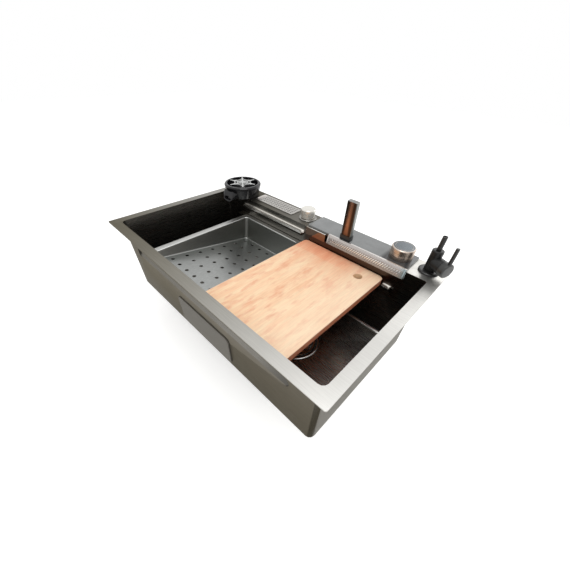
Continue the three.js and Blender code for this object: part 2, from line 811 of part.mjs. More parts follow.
function makeGrate() {
  const z0 = deckTop + gap;
  const z1 = z0 + grate.thickness;
  const plate = prismZ(outline(grate.left, grate.right, grate.front, grate.rear, grate.corner), z0, z1);
  const lugs = box(
    grate.left + grate.seat + 1,
    grate.right - grate.seat - 1,
    grate.front + grate.seat + 0.6,
    grate.rear - grate.seat - 0.6,
    0.5,
    z0 + 0.5,
  ).subtract(box(
    grate.left + grate.seat + 3,
    grate.right - grate.seat - 3,
    grate.front + grate.seat + 2,
    grate.rear - grate.seat - 2,
    0,
    z0,
  ));
  const lip = prismY([
    new THREE.Vector2(grate.left, z1 - 0.5),
    new THREE.Vector2(grate.left + 9, z1 - 0.5),
    new THREE.Vector2(grate.left + 5, z1 + 2.2),
    new THREE.Vector2(grate.left + 2, z1 + 2.6),
    new THREE.Vector2(grate.left, z1 + 1.4),
  ], grate.front + 6, grate.rear - 6);
  let cover = union(plate, lugs, lip);
  const firstX = grate.left + grateSlots.marginLeft;
  const firstY = grate.front + grateSlots.marginY;
  const pitchX = (grate.right - grateSlots.marginRight - firstX) / (grateSlots.columns - 1);
  const pitchY = (grate.rear - grateSlots.marginY - firstY) / (grateSlots.rows - 1);
  for (let i = 0; i < grateSlots.columns; i += 1) {
    for (let k = 0; k < grateSlots.rows; k += 1) {
      const x = firstX + i * pitchX;
      const y = firstY + k * pitchY;
      const slot = box(
        x - grateSlots.length / 2,
        x + grateSlots.length / 2,
        y - grateSlots.width / 2,
        y + grateSlots.width / 2,
        -1,
        z1 + 1,
      );
      cover = cover.subtract(slot);
    }
  }
  return cover;
}

function makeTray() {
  const inner = (inset, z0, z1) => box(
    grate.left + grate.seat + inset,
    grate.right - grate.seat - inset,
    grate.front + grate.seat + inset,
    grate.rear - grate.seat - inset,
    z0,
    z1,
  );
  const bottom = -gap - tray.depth;
  const spoutX = grate.right - tray.spoutInset;
  const spoutY = (grate.front + grate.rear) / 2;
  const flange = inner(-3.5, -gap - tray.skin, -gap);
  const pan = inner(-tray.skin, bottom, -gap - tray.skin / 2);
  const spout = rod(spoutX, spoutY, tray.spoutRadius, bottom - tray.spoutLength, bottom + tray.skin / 2);
  const hole = rod(spoutX, spoutY, tray.spoutRadius - 1.5, bottom - tray.spoutLength - 1, bottom + 4);
  return union(flange, pan, spout).subtract(inner(0, bottom + tray.skin, 1)).subtract(hole);
}

place('deck_grate', makeGrate(), finishes.barSteel());
place('drip_tray', makeTray(), finishes.darkSteel());

// ---- Cup rinser ---------------------------------------------------------------------------------

const rinserFoot = deckTop + gap;
const rinserTop = rinserFoot + rinser.height;
const bossTop = rinserFoot + rinser.bossHeight;

function makeRinserPan() {
  const edge = 3;
  const dish = turned([
    [0, rinserFoot],
    [rinser.footRadius, rinserFoot],
    [rinser.topRadius - 2, rinserTop - 14],
    [rinser.topRadius, rinserTop - 7],
    [rinser.topRadius, rinserTop - edge],
    [rinser.topRadius - edge, rinserTop],
    [0, rinserTop],
  ], knobSteps, rinser.x, rinser.y);
  const root = rinser.y - 20;
  const tip = rinser.y - nose.reach;
  const lipZ = rinserFoot - nose.drop;
  const side = prismX([
    new THREE.Vector2(root, rinserTop - 1),
    new THREE.Vector2(rinser.y - rinser.topRadius + 14, rinserTop - 2),
    new THREE.Vector2(tip + 8, rinserTop - 17),
    new THREE.Vector2(tip + 1, rinserTop - 27),
    new THREE.Vector2(tip, lipZ),
    new THREE.Vector2(tip + 16, lipZ),
    new THREE.Vector2(rinser.y - rinser.footRadius + 14, rinserFoot),
    new THREE.Vector2(root, rinserFoot),
  ], rinser.x - nose.rootHalf - 4, rinser.x + nose.rootHalf + 4);
  const flank = [
    [nose.rootHalf, root],
    [nose.rootHalf, rinser.y - rinser.topRadius / 2 - 12],
    [nose.half, tip + nose.chamfer - 1],
    [nose.half - 4, tip + 3],
    [nose.half - nose.chamfer, tip],
  ];
  const plan = prismZ([
    ...flank.map(([half, y]) => new THREE.Vector2(rinser.x - half, y)),
    ...flank.reverse().map(([half, y]) => new THREE.Vector2(rinser.x + half, y)),
  ], lipZ - 5, rinserTop + 5);
  const cavity = turned([
    [star.stemRadius + 3, rinserFoot + rinser.floor],
    [rinser.footRadius - 5, rinserFoot + rinser.floor],
    [rinser.topRadius - rinser.rim, rinserTop - 10],
    [rinser.topRadius - rinser.rim, rinserTop + 1],
    [0, rinserTop + 1],
    [0, bossTop],
    [star.stemRadius + 3, bossTop],
    [star.stemRadius + 3, rinserFoot + rinser.floor],
  ], roundSteps, rinser.x, rinser.y);
  const channel = prismX([
    new THREE.Vector2(root - 10, rinserFoot + rinser.floor),
    new THREE.Vector2(root - 10, rinserFoot + rinser.floor + 9),
    new THREE.Vector2(tip + 12, rinserFoot + rinser.floor + 2),
    new THREE.Vector2(tip + 4, -1),
    new THREE.Vector2(tip + 4, lipZ - 1),
    new THREE.Vector2(tip + 13, lipZ - 1),
    new THREE.Vector2(tip + 15, 2),
    new THREE.Vector2(tip + 24, rinserFoot + rinser.floor),
  ], rinser.x - nose.channelHalf, rinser.x + nose.channelHalf);
  const stemBore = rod(rinser.x, rinser.y, star.stemRadius + gap, rinserFoot + 8, bossTop + 1);
  const socket = rod(rinser.x, rinser.shankY, rinser.shankRadius + gap, rinserFoot - 1, rinserFoot + 5);
  const waterway = rod(rinser.x, rinser.y + 2, 3, rinserFoot + 4, rinserFoot + 10, 10);
  const shell = dish.add(side.intersect(plan));
  return [cavity, channel, stemBore, socket, waterway].reduce((body, cut) => body.subtract(cut), shell);
}

function makeStar() {
  const z1 = rinserTop + 1;
  const z0 = z1 - star.thickness;
  const half = star.armWidth / 2;
  let grid = rod(0, 0, star.hubRadius, z0 - 4, z1 + 1.5, 18);
  for (let i = 0; i < 3; i += 1) {
    const arm = box(-star.reach, star.reach, -half, half, z0, z1);
    grid = grid.add(arm.rotate([0, 0, 60 * i]));
  }
  // Between two arms run two webs, each an arc that is hollow towards the rim
  const spread = star.reach * Math.tan(Math.PI / 6);
  const sector = prismZ([
    new THREE.Vector2(0, 0),
    new THREE.Vector2(star.reach, -spread),
    new THREE.Vector2(star.reach, spread),
  ], z0, z1).intersect(rod(0, 0, star.reach - 1, z0 - 1, z1 + 1, 18));
  for (let i = 0; i < 6; i += 1) {
    for (const web of starWebs) {
      const arc = ring(web.centre, 0, web.radius - 1.4, web.radius + 1.4, z0 + 0.4, z1 - 0.4, 12);
      grid = grid.add(arc.intersect(sector).rotate([0, 0, 30 + 60 * i]));
    }
  }
  grid = grid.add(rod(0, 0, star.stemRadius, rinserFoot + star.stemFoot, z0, 16));
  return grid.rotate([0, 0, star.turn]).translate([rinser.x, rinser.y, 0]);
}

const springTop = rinserTop + 1 - star.thickness - 4 - gap;
place('rinser_pan', makeRinserPan(), finishes.blackPaint());
place('rinser_star', makeStar(), finishes.polished());
place(
  'rinser_spring',
  ring(rinser.x, rinser.y, star.stemRadius + 0.6, star.stemRadius + 2.2, bossTop + gap, springTop, 16),
  finishes.polished(),
);
place(
  'rinser_shank',
  ring(
    rinser.x,
    rinser.shankY,
    rinser.shankBore,
    rinser.shankRadius,
    rinserFoot + 4.7 - rinser.shankLength,
    rinserFoot + 4.7,
    smallSteps,
  ),
  finishes.brass(),
);
place(
  'rinser_washer',
  ring(rinser.x, rinser.shankY, rinser.shankRadius + ringThread, 19, -gap - 2, -gap, smallSteps),
  finishes.rubber(),
);
place(
  'rinser_nut',
  hexNut(rinser.x, rinser.shankY, rinser.shankRadius + ringThread, 30, -gap - 12.3, -gap - 2.3),
  finishes.brass(),
);

// ---- Drain knob ---------------------------------------------------------------------------------

const knobFoot = deckTop + gap + drainKnob.baseHeight + gap;
const knobTop = knobFoot + drainKnob.height;

function makeDrainKnobBase() {
  const bore = drainShaft.radius + gap;
  const z0 = deckTop + gap;
  const z1 = z0 + drainKnob.baseHeight;
  return turned([
    [bore, -drainShaft.sleeveLength],
    [drainShaft.sleeveRadius, -drainShaft.sleeveLength],
    [drainShaft.sleeveRadius, z0],
    [drainKnob.baseRadius, z0],
    [drainKnob.baseRadius, z1 - 1.2],
    [drainKnob.baseRadius - 1.5, z1],
    [bore, z1],
    [bore, -drainShaft.sleeveLength],
  ], roundSteps, drainKnob.x, drainKnob.y);
}

function makeDrainKnob() {
  const r = drainKnob.radius;
  const bore = drainShaft.radius + gap;
  return turned([
    [bore, knobFoot],
    [r - 1, knobFoot],
    [r, knobFoot + 1],
    [r, knobTop - 2],
    [r - 2, knobTop],
    [0, knobTop],
    [0, knobTop - 6],
    [bore, knobTop - 6],
    [bore, knobFoot],
  ], knobSteps, drainKnob.x, drainKnob.y);
}

function makeCableGland() {
  const top = -drainShaft.sleeveLength - gap;
  const armZ = top - 10.7;
  const elbow = rod(drainKnob.x, drainKnob.y, 10, armZ - 7, top);
  const sideways = (solid) => solid.rotate([0, 90, 0]).translate([drainKnob.x, drainKnob.y, armZ]);
  const arm = sideways(rod(0, 0, 5, 4, 26));
  const bore = sideways(rod(0, 0, 2.5, 0, 30, 10));
  const socket = rod(drainKnob.x, drainKnob.y, drainShaft.radius + 1, armZ - 4, top + 1);
  return elbow.add(arm).subtract(bore).subtract(socket);
}

place('drain_knob_base', makeDrainKnobBase(), finishes.polished());
place('drain_knob', makeDrainKnob(), finishes.polished());
place(
  'drain_knob_spindle',
  rod(drainKnob.x, drainKnob.y, drainShaft.radius, -drainShaft.sleeveLength - 12, knobTop - 6 - gap, 16),
  finishes.brass(),
);
place(
  'drain_knob_nut',
  hexNut(drainKnob.x, drainKnob.y, drainShaft.sleeveRadius + ringThread, 26, -gap - 9, -gap),
  finishes.brass(),
);
place('drain_cable_gland', makeCableGland(), finishes.blackPlastic());

// ---- Glass panel, outlets and their housing -----------------------------------------------------

const gasketZ = deckTop + 0.1;
const panelZ = gasketZ + panel.gasket + 0.1;
const panelTop = panelZ + panel.thickness;

function panelSheet(inset, z0, z1) {
  const sheet = prismZ(
    outline(panel.left + inset, panel.right - inset, panel.front + inset, panel.rear - inset, panel.corner),
    z0,
    z1,
  );
  return sheet
    .subtract(prismZ(columnLine(gap + inset / 2), z0 - 1, z1 + 1))
    .subtract(rod(mixer.x, mixer.y, mixer.neckRadius + 0.5 + inset / 2, z0 - 1, z1 + 1));
}

function makeRainBar() {
  const skin = 2.2;
  const bar = rainBar;
  const left = bar.left + bar.cap + gap;
  const right = bar.right - bar.cap - gap;
  const body = prismX([
    new THREE.Vector2(bar.rear, bar.top),
    new THREE.Vector2(bar.topFront + 1.5, bar.top),
    new THREE.Vector2(bar.topFront, bar.top - 1.5),
    new THREE.Vector2(bar.front, bar.bottom + 1),
    new THREE.Vector2(bar.front + 1.5, bar.bottom),
    new THREE.Vector2(bar.rear, bar.bottom),
  ], left, right);
  const hollow = prismX([
    new THREE.Vector2(bar.rear - skin, bar.top - skin),
    new THREE.Vector2(bar.topFront + skin, bar.top - skin),
    new THREE.Vector2(bar.front + skin + 0.6, bar.bottom + skin),
    new THREE.Vector2(bar.rear - skin, bar.bottom + skin),
  ], left + 3, right - 3);
  const neckLeft = column.x + column.width / 2 + 6;
  const neckRight = right - 20;
  const neck = box(neckLeft, neckRight, bar.rear - 1, housing.front - gap, bar.bottom + 2, -1);
  const throat = box(neckLeft + 4, neckRight - 4, bar.rear - skin - 1, housing.front + 1, bar.bottom + 4, -3);
  let shell = body.add(neck).subtract(hollow).subtract(throat);
  const first = bar.left + rainSlots.margin;
  const last = bar.right - rainSlots.margin;
  const pitch = (last - first) / (rainSlots.count - 1);
  const faceTilt = THREE.MathUtils.radToDeg(Math.atan2(bar.topFront - bar.front, bar.top - bar.bottom));
  const middleY = (bar.front + bar.topFront) / 2;
  const middleZ = (bar.top + bar.bottom) / 2;
  const halfWidth = rainSlots.width / 2;
  const halfLength = rainSlots.length / 2;
  for (let i = 0; i < rainSlots.count; i += 1) {
    const slot = box(-halfWidth, halfWidth, -3.2, 4, -halfLength, halfLength)
      .rotate([0, THREE.MathUtils.radToDeg(rainSlots.slant), 0])
      .rotate([-faceTilt, 0, 0])
      .translate([first + i * pitch, middleY, middleZ]);
    shell = shell.subtract(slot);
  }
  return shell;
}

function rainBarCap(x0, x1) {
  const bar = rainBar;
  return prismX([
    new THREE.Vector2(bar.rear, bar.top),
    new THREE.Vector2(bar.topFront + 1.5, bar.top),
    new THREE.Vector2(bar.topFront, bar.top - 1.5),
    new THREE.Vector2(bar.front, bar.bottom + 1),
    new THREE.Vector2(bar.front + 1.5, bar.bottom),
    new THREE.Vector2(bar.rear, bar.bottom),
  ], x0, x1);
}

function makeOutlet() {
  const o = outlet;
  const block = box(o.left, o.right, o.front, o.rear, o.bottom, o.top);
  const slit = box(o.left + 4, o.right - 4, o.front + 2, o.front + 2 + o.slit, o.bottom - 1, o.bottom + 8);
  const hollow = box(o.left + 4, o.right - 4, o.front + 2, o.rear - 2, o.bottom + 5, o.top - 3);
  const neck = box(o.left + 12, o.right - 10, o.rear - 1, housing.front - gap, o.bottom + 4, -1);
  const throat = box(o.left + 15, o.right - 13, o.rear - 3, housing.front + 1, o.bottom + 6, -3);
  return block.add(neck).subtract(slit).subtract(hollow).subtract(throat);
}

function makeHousing() {
  const h = housing;
  const top = -gap;
  const block = box(h.left, h.right, h.front, h.rear, top - h.depth, top);
  const cuts = [
    prismZ(columnLine(guide.skin + 2 * gap), top - h.depth - 1, 1),
    rod(mixer.x, mixer.y, mixer.bodyRadius + gap, -mixer.bodyLength - gap, 1),
    rod(inlet.coldX, inlet.y, inlet.bore, top - h.depth - 1, top - h.depth + 12),
    rod(inlet.hotX, inlet.y, inlet.bore, top - h.depth - 1, top - h.depth + 12),
    box(h.left - 1, h.right + 1, h.front - 1, h.front + 6, top - h.depth - 1, top - h.depth + 10),
  ];
  return cuts.reduce((body, cut) => body.subtract(cut), block);
}

function makeInlet(x) {
  const top = -gap - housing.depth - gap;
  return turned([
    [inlet.bore, top - inlet.length],
    [inlet.radius, top - inlet.length],
    [inlet.radius, top - 6],
    [inlet.radius + 4, top - 6],
    [inlet.radius + 4, top],
    [inlet.bore, top],
    [inlet.bore, top - inlet.length],
  ], smallSteps, x, inlet.y);
}

place('panel_gasket', panelSheet(2, gasketZ, gasketZ + panel.gasket), finishes.rubber());
place('panel_glass', panelSheet(0, panelZ, panelTop), finishes.blackGlass());
place('rain_bar', makeRainBar(), finishes.barSteel());
place('rain_bar_cap_left', rainBarCap(rainBar.left, rainBar.left + rainBar.cap), finishes.barSteel());
place('rain_bar_cap_right', rainBarCap(rainBar.right - rainBar.cap, rainBar.right), finishes.barSteel());
place('waterfall_outlet', makeOutlet(), finishes.mirrorDark());
place('outlet_housing', makeHousing(), finishes.blackPlastic());
place('cold_inlet', makeInlet(inlet.coldX), finishes.brass());
place('hot_inlet', makeInlet(inlet.hotX), finishes.brass());

// ---- Lift-up column -----------------------------------------------------------------------------

function makeColumn() {
  const edge = 1;
  const z0 = -column.engaged;
  const level = (inset, z) => at(columnLine(-inset), () => z);
  const mid = (z) => new THREE.Vector3(column.x, column.y, z);
  const post = loft(
    [level(0, z0), level(0, column.top - edge), level(edge, column.top)],
    mid(z0),
    mid(column.top),
  );
  return post.subtract(rod(column.x, column.y, column.bore, z0 - 1, column.top - 12));
}

function columnTube(skin, z0, z1) {
  return prismZ(columnLine(gap + skin), z0, z1).subtract(prismZ(columnLine(gap), z0 - 1, z1 + 1));
}

const guideEnd = -column.engaged - guide.below;
place(
  'column_collar',
  columnTube(collar.skin, panelTop + 0.1, panelTop + 0.1 + collar.height),
  finishes.blackPaint(),
);
place('tap_column', makeColumn(), finishes.mirrorDark());
place('column_guide', columnTube(guide.skin, guideEnd, panelZ - 1), finishes.greyPlastic());
place(
  'column_guide_stop',
  prismZ(columnLine(guide.skin + gap), guideEnd - gap - guide.stopThickness, guideEnd - gap)
    .subtract(rod(column.x, column.y, column.bore + 1, guideEnd - guide.stopThickness - 2, guideEnd + 1)),
  finishes.greyPlastic(),
);

// ---- Mixer --------------------------------------------------------------------------------------

const mixerFoot = panelTop + gap;
const mixerTop = mixerFoot + mixer.height;
const mixerStemTop = mixerFoot + mixer.stemHeight;

function makeCartridge() {
  return turned([
    [0, -mixer.bodyLength],
    [mixer.bodyRadius, -mixer.bodyLength],
    [mixer.bodyRadius, -gap - 0.3],
    [mixer.neckRadius, -gap - 0.3],
    [mixer.neckRadius, mixerFoot + 5],
    [mixer.stemRadius, mixerFoot + 5],
    [mixer.stemRadius, mixerStemTop],
    [0, mixerStemTop],
  ], smallSteps, mixer.x, mixer.y);
}

function makeMixerKnob() {
  const r = mixer.radius;
  return turned([
    [r - 5, mixerFoot],
    [r - 0.8, mixerFoot],
    [r, mixerFoot + 1],
    [r, mixerTop - 2.2],
    [r - 2.2, mixerTop],
    [0, mixerTop],
    [0, mixerStemTop + gap],
    [mixer.stemRadius + ringThread, mixerStemTop + gap],
    [mixer.stemRadius + ringThread, mixerFoot + 7],
    [r - 5, mixerFoot + 7],
    [r - 5, mixerFoot],
  ], knobSteps, mixer.x, mixer.y);
}

place('mixer_cartridge', makeCartridge(), finishes.brass());
place(
  'mixer_nut',
  hexNut(mixer.x, mixer.y, mixer.neckRadius + ringThread, mixer.nutAcross, mixerFoot, mixerFoot + 4),
  finishes.brass(),
);
place('mixer_knob', makeMixerKnob(), finishes.knobSteel());

// ---- Filtered-water tap -------------------------------------------------------------------------

const tapFoot = deckTop + gap;
const flangeTop = tapFoot + tap.flangeHeight;
const spigot = { radius: 5, length: 10 };

function makeTapFlange() {
  return turned([
    [tap.shankRadius + gap, tapFoot],
    [tap.flangeRadius, tapFoot],
    [tap.flangeRadius, tapFoot + 2],
    [tap.flangeRadius - 2.5, flangeTop],
    [tap.shankRadius + gap, flangeTop],
    [tap.shankRadius + gap, tapFoot],
  ], roundSteps, tap.x, tap.y);
}

// The side valve lies level, turned towards the front from +X
function alongValve(solid) {
  return solid.rotate([0, 90, 0]).rotate([0, 0, valve.turn]).translate([tap.x, tap.y, valve.height]);
}

function makeTapBody() {
  const z0 = flangeTop + gap;
  const body = turned([
    [0, z0],
    [tap.radius, z0],
    [tap.radius, tap.top - 3],
    [tap.radius - 1, tap.top - 1],
    [tap.radius - 3, tap.top],
    [0, tap.top],
  ], roundSteps, tap.x, tap.y);
  const barrel = alongValve(rod(0, 0, valve.radius, 0, valve.bodyEnd, roundSteps));
  const bore = rod(tap.x, tap.y, tap.spoutRadius - 1 + gap, tap.top - 14, tap.top + 1);
  const socket = rod(tap.x, tap.y, spigot.radius + gap, z0 - 1, z0 + spigot.length);
  return body.add(barrel).subtract(bore).subtract(socket);
}

function makeSpout() {
  return turned([
    [0, tap.top - 12],
    [tap.spoutRadius - 1, tap.top - 12],
    [tap.spoutRadius - 1, tap.top + gap],
    [tap.spoutRadius, tap.top + gap],
    [tap.spoutRadius, tap.spoutTop],
    [tap.spoutRadius - 1.5, tap.spoutTop],
    [tap.spoutRadius - 1.5, tap.top],
    [0, tap.top],
  ], smallSteps, tap.x, tap.y);
}

function makeLeverCap() {
  const from = valve.bodyEnd + gap;
  const r = valve.capRadius;
  return alongValve(turned([
    [0, from],
    [r - 0.8, from],
    [r, from + 0.8],
    [r, valve.capEnd - 2],
    [r - 2, valve.capEnd],
    [0, valve.capEnd],
  ], roundSteps));
}

function makeLeverRod() {
  const angle = THREE.MathUtils.degToRad(valve.turn);
  const x = tap.x + lever.along * Math.cos(angle);
  const y = tap.y + lever.along * Math.sin(angle);
  const base = valve.height + valve.capRadius + gap;
  return turned([
    [0, base],
    [lever.radius, base],
    [lever.radius, lever.top - 1],
    [lever.radius - 1, lever.top],
    [0, lever.top],
  ], smallSteps, x, y);
}

function makeTapShank() {
  const top = flangeTop + spigot.length;
  const bottom = tapFoot + gap - tap.shankLength;
  return turned([
    [tap.shankBore, bottom],
    [tap.shankRadius, bottom],
    [tap.shankRadius, flangeTop - 0.1],
    [spigot.radius, flangeTop - 0.1],
    [spigot.radius, top],
    [tap.shankBore, top],
    [tap.shankBore, bottom],
  ], smallSteps, tap.x, tap.y);
}

place('tap_flange', makeTapFlange(), finishes.blackPaint());
place('tap_body', makeTapBody(), finishes.blackPaint());
place('tap_spout', makeSpout(), finishes.blackPaint());
place('tap_lever_cap', makeLeverCap(), finishes.blackPaint());
place('tap_lever_rod', makeLeverRod(), finishes.blackPaint());
place('tap_shank', makeTapShank(), finishes.brass());
place('tap_nut', hexNut(tap.x, tap.y, tap.shankRadius + ringThread, 24, -gap - 9, -gap), finishes.brass());

export default sink;
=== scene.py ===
import json
import math

import bmesh
import bpy
from mathutils import Matrix, Vector

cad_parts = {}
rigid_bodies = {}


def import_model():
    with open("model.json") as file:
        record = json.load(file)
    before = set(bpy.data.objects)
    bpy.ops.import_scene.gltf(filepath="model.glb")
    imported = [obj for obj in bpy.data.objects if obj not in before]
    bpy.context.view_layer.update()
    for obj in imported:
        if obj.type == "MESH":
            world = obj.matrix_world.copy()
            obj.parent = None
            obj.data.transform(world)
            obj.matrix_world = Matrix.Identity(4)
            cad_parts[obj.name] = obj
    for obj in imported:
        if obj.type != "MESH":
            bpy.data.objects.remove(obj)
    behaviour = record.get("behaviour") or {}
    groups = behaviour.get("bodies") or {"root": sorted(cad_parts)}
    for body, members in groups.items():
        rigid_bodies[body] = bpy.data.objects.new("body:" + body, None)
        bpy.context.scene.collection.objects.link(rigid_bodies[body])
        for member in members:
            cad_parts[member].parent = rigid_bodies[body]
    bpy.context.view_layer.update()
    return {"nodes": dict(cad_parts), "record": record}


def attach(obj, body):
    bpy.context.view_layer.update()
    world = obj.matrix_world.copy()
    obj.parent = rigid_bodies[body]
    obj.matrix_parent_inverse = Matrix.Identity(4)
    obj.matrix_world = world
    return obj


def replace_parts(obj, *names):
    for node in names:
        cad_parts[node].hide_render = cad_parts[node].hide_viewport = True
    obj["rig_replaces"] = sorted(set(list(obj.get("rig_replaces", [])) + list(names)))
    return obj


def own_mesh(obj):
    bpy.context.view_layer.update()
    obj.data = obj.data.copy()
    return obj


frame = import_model()
record = frame["record"]
bodyOf = {}
for bodyName, members in record["behaviour"]["bodies"].items():
    for member in members:
        bodyOf[member] = bodyName
slotOf = {entry["node"]: entry["material_slot"] for entry in record["subparts"]}
mm = 0.001    # the shapes are in millimetres; the finishes, camera and lamps are in metres
print("frame loaded:", len(frame["nodes"]), "nodes")

camera = {
    "place": (0.43462, -0.38666, 0.34271), "turn": (45.21, -1.90, 44.32),
    "lens": 16.48, "sensor": 36.0, "shiftY": 0.048, "near": 0.01,
}
lamps = {
    "overhead": {"place": (0.30, -0.20, 1.7), "aim": (0.12, 0, 0), "size": (1.0, 0.8), "watts": 10},
    "rearWindow": {"place": (0.5, 2.1, 0.9), "aim": (0.1, 0, 0), "size": (1.8, 1.0), "watts": 9},
}
backdrop = {"drop": 0.310, "size": 12.0, "colour": (0.86, 0.86, 0.85), "rough": 0.9, "glow": 0.48}
room = {
    "darkSide": (-0.80, -0.52, -0.10), "lean": (0.10, 0.85), "light": (1.0, 1.0, 1.0),
    "dark": (0.30, 0.28, 0.26), "strength": 0.85, "white": 1.0,
}


def show(thing):
    bpy.context.scene.collection.objects.link(thing)
    return thing


def fromMesh(name, bm):
    mesh = bpy.data.meshes.new(name)
    bm.to_mesh(mesh)
    bm.free()
    return show(bpy.data.objects.new(name, mesh))


def startMaterial(name, colour, rough, metal=0.0):
    mat = bpy.data.materials.new(name)
    mat.use_nodes = True
    bsdf = mat.node_tree.nodes["Principled BSDF"]
    bsdf.inputs["Base Color"].default_value = (*colour, 1)
    bsdf.inputs["Roughness"].default_value = rough
    bsdf.inputs["Metallic"].default_value = metal
    return mat, mat.node_tree, bsdf


def shaderNode(tree, kind, inputs, output=None, **settings):
    # each input is a value or another node's output; gives the named output, or all of them
    node = tree.nodes.new("ShaderNode" + kind)
    for name, value in settings.items():
        setattr(node, name, value)
    for name, value in inputs.items():
        if isinstance(value, bpy.types.NodeSocket):
            tree.links.new(value, node.inputs[name])
        else:
            node.inputs[name].default_value = value
    return node.outputs[output] if output else node.outputs


def mathNode(tree, operation, a, b=0.0):
    return shaderNode(tree, "Math", {0: a, 1: b}, "Value", operation=operation)


def addCamera():
    data = bpy.data.cameras.new("camera")
    data.sensor_width = camera["sensor"]
    data.lens = camera["lens"]
    data.shift_y = camera["shiftY"]
    data.clip_start = camera["near"]
    cam = show(bpy.data.objects.new("camera", data))
    cam.location = camera["place"]
    cam.rotation_euler = [math.radians(turn) for turn in camera["turn"]]
    bpy.context.scene.camera = cam


def addLamp(name, spec):
    data = bpy.data.lights.new(name, "AREA")
    data.shape = "RECTANGLE"
    data.size, data.size_y = spec["size"]
    data.energy = spec["watts"]
    lamp = show(bpy.data.objects.new(name, data))
    lamp.location = spec["place"]
    aim = Vector(spec["aim"]) - Vector(spec["place"])
    lamp.rotation_euler = aim.to_track_quat("-Z", "Y").to_euler()
    lamp.visible_camera = False


def seenDirectly(tree):
    # 1 for rays that the camera, a mirror or glass sends out, 0 for the light that falls on the object
    path = shaderNode(tree, "LightPath", {})
    first = mathNode(tree, "MAXIMUM", path["Is Camera Ray"], path["Is Glossy Ray"])
    return mathNode(tree, "MAXIMUM", first, path["Is Transmission Ray"])


def addWorld():
    world = bpy.data.worlds.new("studio")
    bpy.context.scene.world = world
    world.use_nodes = True
    tree = world.node_tree
    tree.nodes.clear()
    coord = shaderNode(tree, "TexCoord", {}, "Generated")
    # how far a direction leans to the dark side of the room
    lean = shaderNode(tree, "VectorMath", {0: coord, 1: room["darkSide"]}, "Value", operation="DOT_PRODUCT")
    colour = shaderNode(tree, "ValToRGB", {"Fac": lean}, "Color")
    ramp = colour.node.color_ramp
    for stop, at, tone in zip(ramp.elements, room["lean"], (room["light"], room["dark"])):
        stop.position = at
        stop.color = (*tone, 1)
    soft = shaderNode(tree, "Background", {"Color": colour, "Strength": room["strength"]}, "Background")
    white = shaderNode(tree, "Background", {"Color": (1, 1, 1, 1), "Strength": room["white"]}, "Background")
    mix = shaderNode(tree, "MixShader", {"Fac": seenDirectly(tree), 1: soft, 2: white}, "Shader")
    out = tree.nodes.new("ShaderNodeOutputWorld")
    tree.links.new(mix, out.inputs["Surface"])


def addFloor():
    bm = bmesh.new()
    bmesh.ops.create_grid(bm, x_segments=2, y_segments=2, size=backdrop["size"] / 2)
    floor = fromMesh("floor", bm)
    floor.location.z = -backdrop["drop"]
    mat, tree, bsdf = startMaterial("floor_paper", backdrop["colour"], backdrop["rough"])
    paper = bsdf.outputs["BSDF"]
    # the glow lifts the paper to white where nothing shades it
    glow = shaderNode(tree, "Emission", {"Color": (1, 1, 1, 1), "Strength": backdrop["glow"]}, "Emission")
    both = shaderNode(tree, "AddShader", {0: paper, 1: glow}, "Shader")
    gate = shaderNode(tree, "MixShader", {"Fac": seenDirectly(tree), 1: paper, 2: both}, "Shader")
    tree.links.new(gate, tree.nodes["Material Output"].inputs["Surface"])
    floor.data.materials.append(mat)


addCamera()
for lampName, lampSpec in lamps.items():
    addLamp(lampName, lampSpec)
addWorld()
addFloor()
bpy.context.scene.view_settings.view_transform = "Standard"
print("camera, lamps and floor set")


def place(tree):
    coord = shaderNode(tree, "TexCoord", {}, "Object")
    return shaderNode(tree, "SeparateXYZ", {"Vector": coord})


def facing(tree):
    normal = shaderNode(tree, "NewGeometry", {}, "Normal")
    return shaderNode(tree, "SeparateXYZ", {"Vector": normal})


def grain(tree, scale, stretch=(1, 1, 1), detail=4, source=None):
    # a noise on Object coordinates, drawn out along the axes with a small stretch value
    if source is None:
        source = shaderNode(tree, "TexCoord", {}, "Object")
    at = shaderNode(tree, "Mapping", {"Vector": source, "Scale": stretch}, "Vector")
    inputs = {"Vector": at, "Scale": scale, "Detail": detail, "Roughness": 0.6}
    return shaderNode(tree, "TexNoise", inputs, "Fac")


def spread(tree, value, low=0, high=1, fromLow=0.3, fromHigh=0.7):
    # fromLow becomes low and fromHigh becomes high
    inputs = {"Value": value, "To Min": low, "To Max": high, "From Min": fromLow, "From Max": fromHigh}
    return shaderNode(tree, "MapRange", inputs, "Result")


def mixed(tree, factor, a, b):
    return shaderNode(tree, "Mix", {"Factor": factor, "A": a, "B": b}, "Result")


def tint(tree, factor, a, b, blend="MIX"):
    # from colour a to colour b; each is three numbers or another node's colour
    a, b = ((*colour, 1) if isinstance(colour, (tuple, list)) else colour for colour in (a, b))
    inputs = {"Factor": factor, "A": a, "B": b}
    return shaderNode(tree, "Mix", inputs, "Result", data_type="RGBA", blend_type=blend)


def shade(colour, share):
    return [part * share for part in colour]


def brushLines(tree, fine=900, long=0.02, detail=2):
    # brushed along X, and along Y on the faces that look to the left or right
    sideways = spread(tree, mathNode(tree, "ABSOLUTE", facing(tree)["X"]), 0, 1, 0.6, 0.8)
    alongX, alongY = (grain(tree, fine, stretch, detail) for stretch in ((long, 1, 1), (1, long, 1)))
    return mixed(tree, sideways, alongX, alongY)


def withLines(tree, lines, colour, share):
    # the same colour with darker hair lines in it
    tones = tint(tree, spread(tree, lines), (1, 1, 1), (share,) * 3)
    return tint(tree, 1.0, colour, tones, "MULTIPLY")


